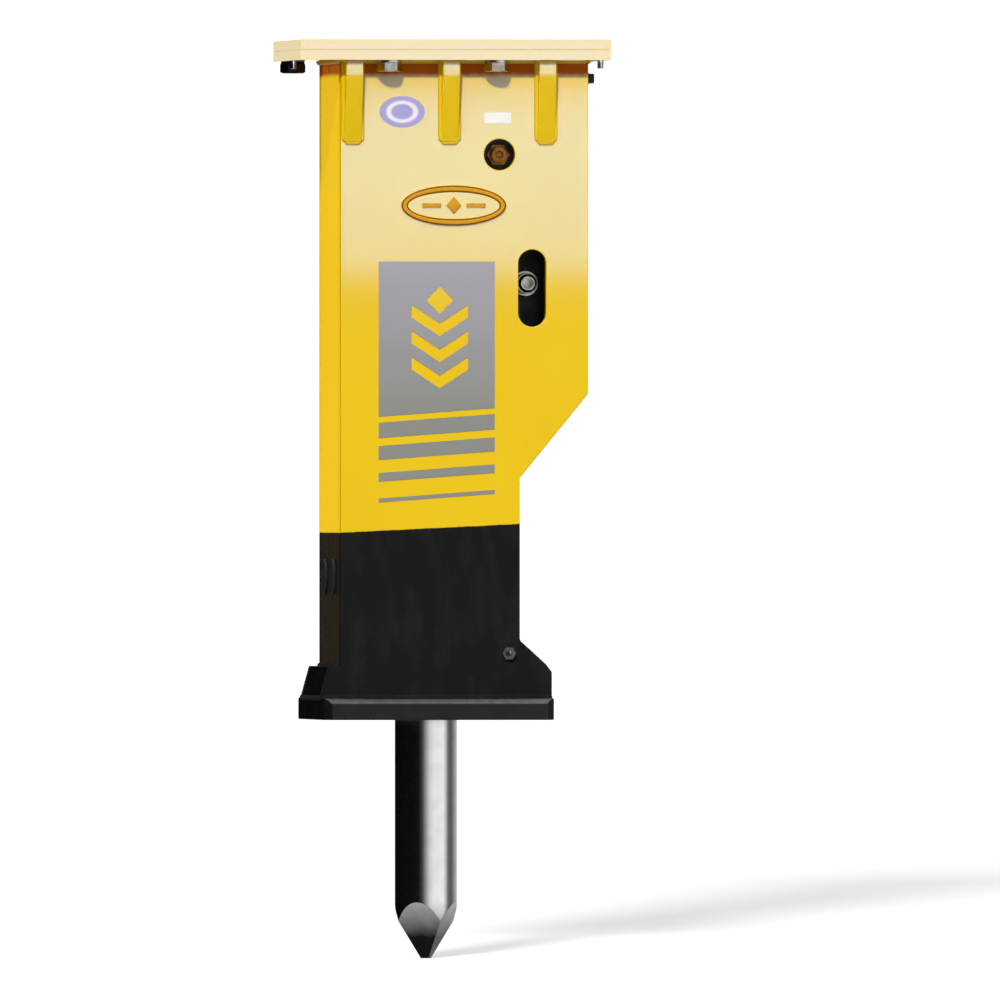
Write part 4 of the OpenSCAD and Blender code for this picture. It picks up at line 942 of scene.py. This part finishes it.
# Degrees round from the front towards the right, and how bright it is there.
SKY_STOPS = [
    (-180, 0.002), (-40, 0.002), (-30, 0.008), (-18, 0.06), (-6, 0.34), (6, 0.68), (22, 0.92),
    (62, 1.0), (72, 0.62), (84, 0.15), (104, 0.1), (122, 0.3), (146, 0.5), (172, 0.4), (180, 0.002),
]
strip = add(tree, "ShaderNodeValToRGB", {"Fac": turn_share})
stops = strip.color_ramp.elements
for i, (degrees, brightness) in enumerate(SKY_STOPS):
    position = (degrees + 180) / 360
    stop = stops[i] if i < 2 else stops.new(position)
    stop.position = position
    stop.color = (brightness, brightness, brightness, 1.0)
SKY_FOR_MATT, SKY_TO_EYE, OVERHEAD, UNDERNEATH = 0.38, 1.1, 4.5, 0.42
overhead = ramp(tree, at["Z"], 0.75, 0.95, 0.0, OVERHEAD)
level_part = ramp(tree, at["Z"], -0.45, -0.15)
level_light = mathematics(tree, "MULTIPLY", strip.outputs["Color"], level_part)
under_light = ramp(tree, level_part, 0.0, 1.0, UNDERNEATH, 0.0)
shiny = mathematics(tree, "ADD", mathematics(tree, "ADD", level_light, under_light), overhead)
ray = add(tree, "ShaderNodeLightPath")
to_eye = mathematics(tree, "MULTIPLY", ray.outputs["Is Camera Ray"], SKY_TO_EYE)
seen = mathematics(tree, "MAXIMUM", SKY_FOR_MATT, to_eye)
for_shiny = mathematics(tree, "MULTIPLY", shiny, ray.outputs["Is Glossy Ray"])
not_shiny = mathematics(tree, "SUBTRACT", 1.0, ray.outputs["Is Glossy Ray"])
strength = mathematics(tree, "ADD", for_shiny, mathematics(tree, "MULTIPLY", seen, not_shiny))
sky = add(tree, "ShaderNodeBackground", {"Color": (1.0, 1.0, 1.0, 1.0), "Strength": strength})
add(tree, "ShaderNodeOutputWorld", {"Surface": sky.outputs[0]})


# %% Lamp helpers
def only_for(lamp, pieces):
    """The lamp lights these pieces and nothing else."""
    lit = bpy.data.collections.new("lit by " + lamp.name)
    for piece in pieces:
        lit.objects.link(piece)
    lamp.light_linking.receiver_collection = lit


def aimed(light, name, position, target):
    """Puts a lamp at position, pointing at target, and hides it from the camera."""
    lamp = bpy.data.objects.new(name, light)
    lamp.location = position
    away = np.array(position) - np.array(target)
    flat_reach = math.hypot(away[0], away[1])
    lamp.rotation_euler = (math.atan2(flat_reach, away[2]), 0.0, math.atan2(away[0], -away[1]))
    lamp.visible_camera = False
    bpy.context.scene.collection.objects.link(lamp)
    return lamp


def sun(name, travel, energy, angle, pieces):
    """A distant lamp whose light travels along travel. It isn't seen in shiny parts."""
    data = bpy.data.lights.new(name, "SUN")
    data.energy, data.angle = energy, math.radians(angle)
    lamp = aimed(data, name, [-10 * v for v in travel], (0.0, 0.0, 0.0))
    lamp.visible_glossy = False
    only_for(lamp, pieces)
    return lamp


def card(name, centre, target, wide, high, radiance, tint, pieces):
    """A glowing card that is only seen as a reflection. Its power is pi * area * radiance."""
    data = bpy.data.lights.new(name, "AREA")
    data.shape, data.size, data.size_y = "RECTANGLE", wide, high
    data.color, data.energy = tint, math.pi * wide * high * radiance
    lamp = aimed(data, name, centre, target)
    lamp.visible_diffuse = False
    only_for(lamp, pieces)
    return lamp


# %% Lamps
hammer = [o for o in bpy.context.scene.objects if o.type == "MESH" and o is not floor]
named = {o.name: o for o in hammer}
sun("key", (0.2, 0.8, -0.565), 2.8, 3.0, hammer)
sun("left_fill", (1.0, 0.1, -0.1), 1.1, 3.0, [named[n] for n in ("left_wall_rounded", "box_welds")])
sun("gusset_fill", (0.1, 0.95, 0.3), 1.1, 3.0, [named["front_gussets_rounded"]])
sun("right_fill", (-1.0, -0.05, -0.2), 1.3, 6.0, hammer)
sun("rear_fill", (-0.1, -1.0, -0.2), 1.3, 6.0, hammer)
sun("floor_shadow", (0.1830, 0.9794, -0.0845), 15.1, 2.8, [floor])

glossy_front = [named[n] for n in (
    "front_side_plate_rounded", "front_gussets_rounded", "cast_badge", "flange_welds",
)]
flange_pieces = [named[n] for n in ("top_plate_rounded", "top_flange_rounded")]
DAYLIGHT, FLANGE_DAYLIGHT = (0.05, 0.45, 1.0), (0.15, 0.42, 1.0)
SOFTBOX_X, SOFTBOX_WIDE, SOFTBOX_TOP = 0.175, 0.9, -0.065
BEFORE = FRONT - 1.0
for name, low_edge, high_edge, radiance, tint, pieces in (
    ("softbox", -0.368, SOFTBOX_TOP, 19.0, DAYLIGHT, glossy_front),
    ("high_softbox", -0.235, SOFTBOX_TOP, 12.0, DAYLIGHT, glossy_front),
    ("flange_softbox", -0.25, 0.25, 30.0, FLANGE_DAYLIGHT, flange_pieces),
):
    high = high_edge - low_edge
    middle = low_edge + high / 2
    centre, target = (SOFTBOX_X, BEFORE, middle), (SOFTBOX_X, FRONT, middle)
    card(name, centre, target, SOFTBOX_WIDE, high, radiance, tint, pieces)

AWAY_LEFT = np.array([-0.1219, 0.9925, 0.0])
CARD_WIDE, CARD_AWAY = 1.2, 2.0
for name, z, high, radiance, tint, pieces in (
    ("gold_card", -0.42, 1.6, 1.1, (1.0, 0.62, 0.03), ("left_wall_rounded", "box_welds")),
    ("white_card", -0.02, 0.8, 1.25, (1.0, 0.92, 0.7), ("top_plate_rounded", "top_flange_rounded")),
):
    near = np.array([LEFT, 0.0, z])
    far = near + AWAY_LEFT * CARD_AWAY
    card(name, far, near, CARD_WIDE, high, radiance, tint, [named[n] for n in pieces])

# %% [markdown]
# The picture is shown with the Standard transform, which keeps the enamel's strong yellow.

# %% View
bpy.context.scene.view_settings.view_transform = "Standard"
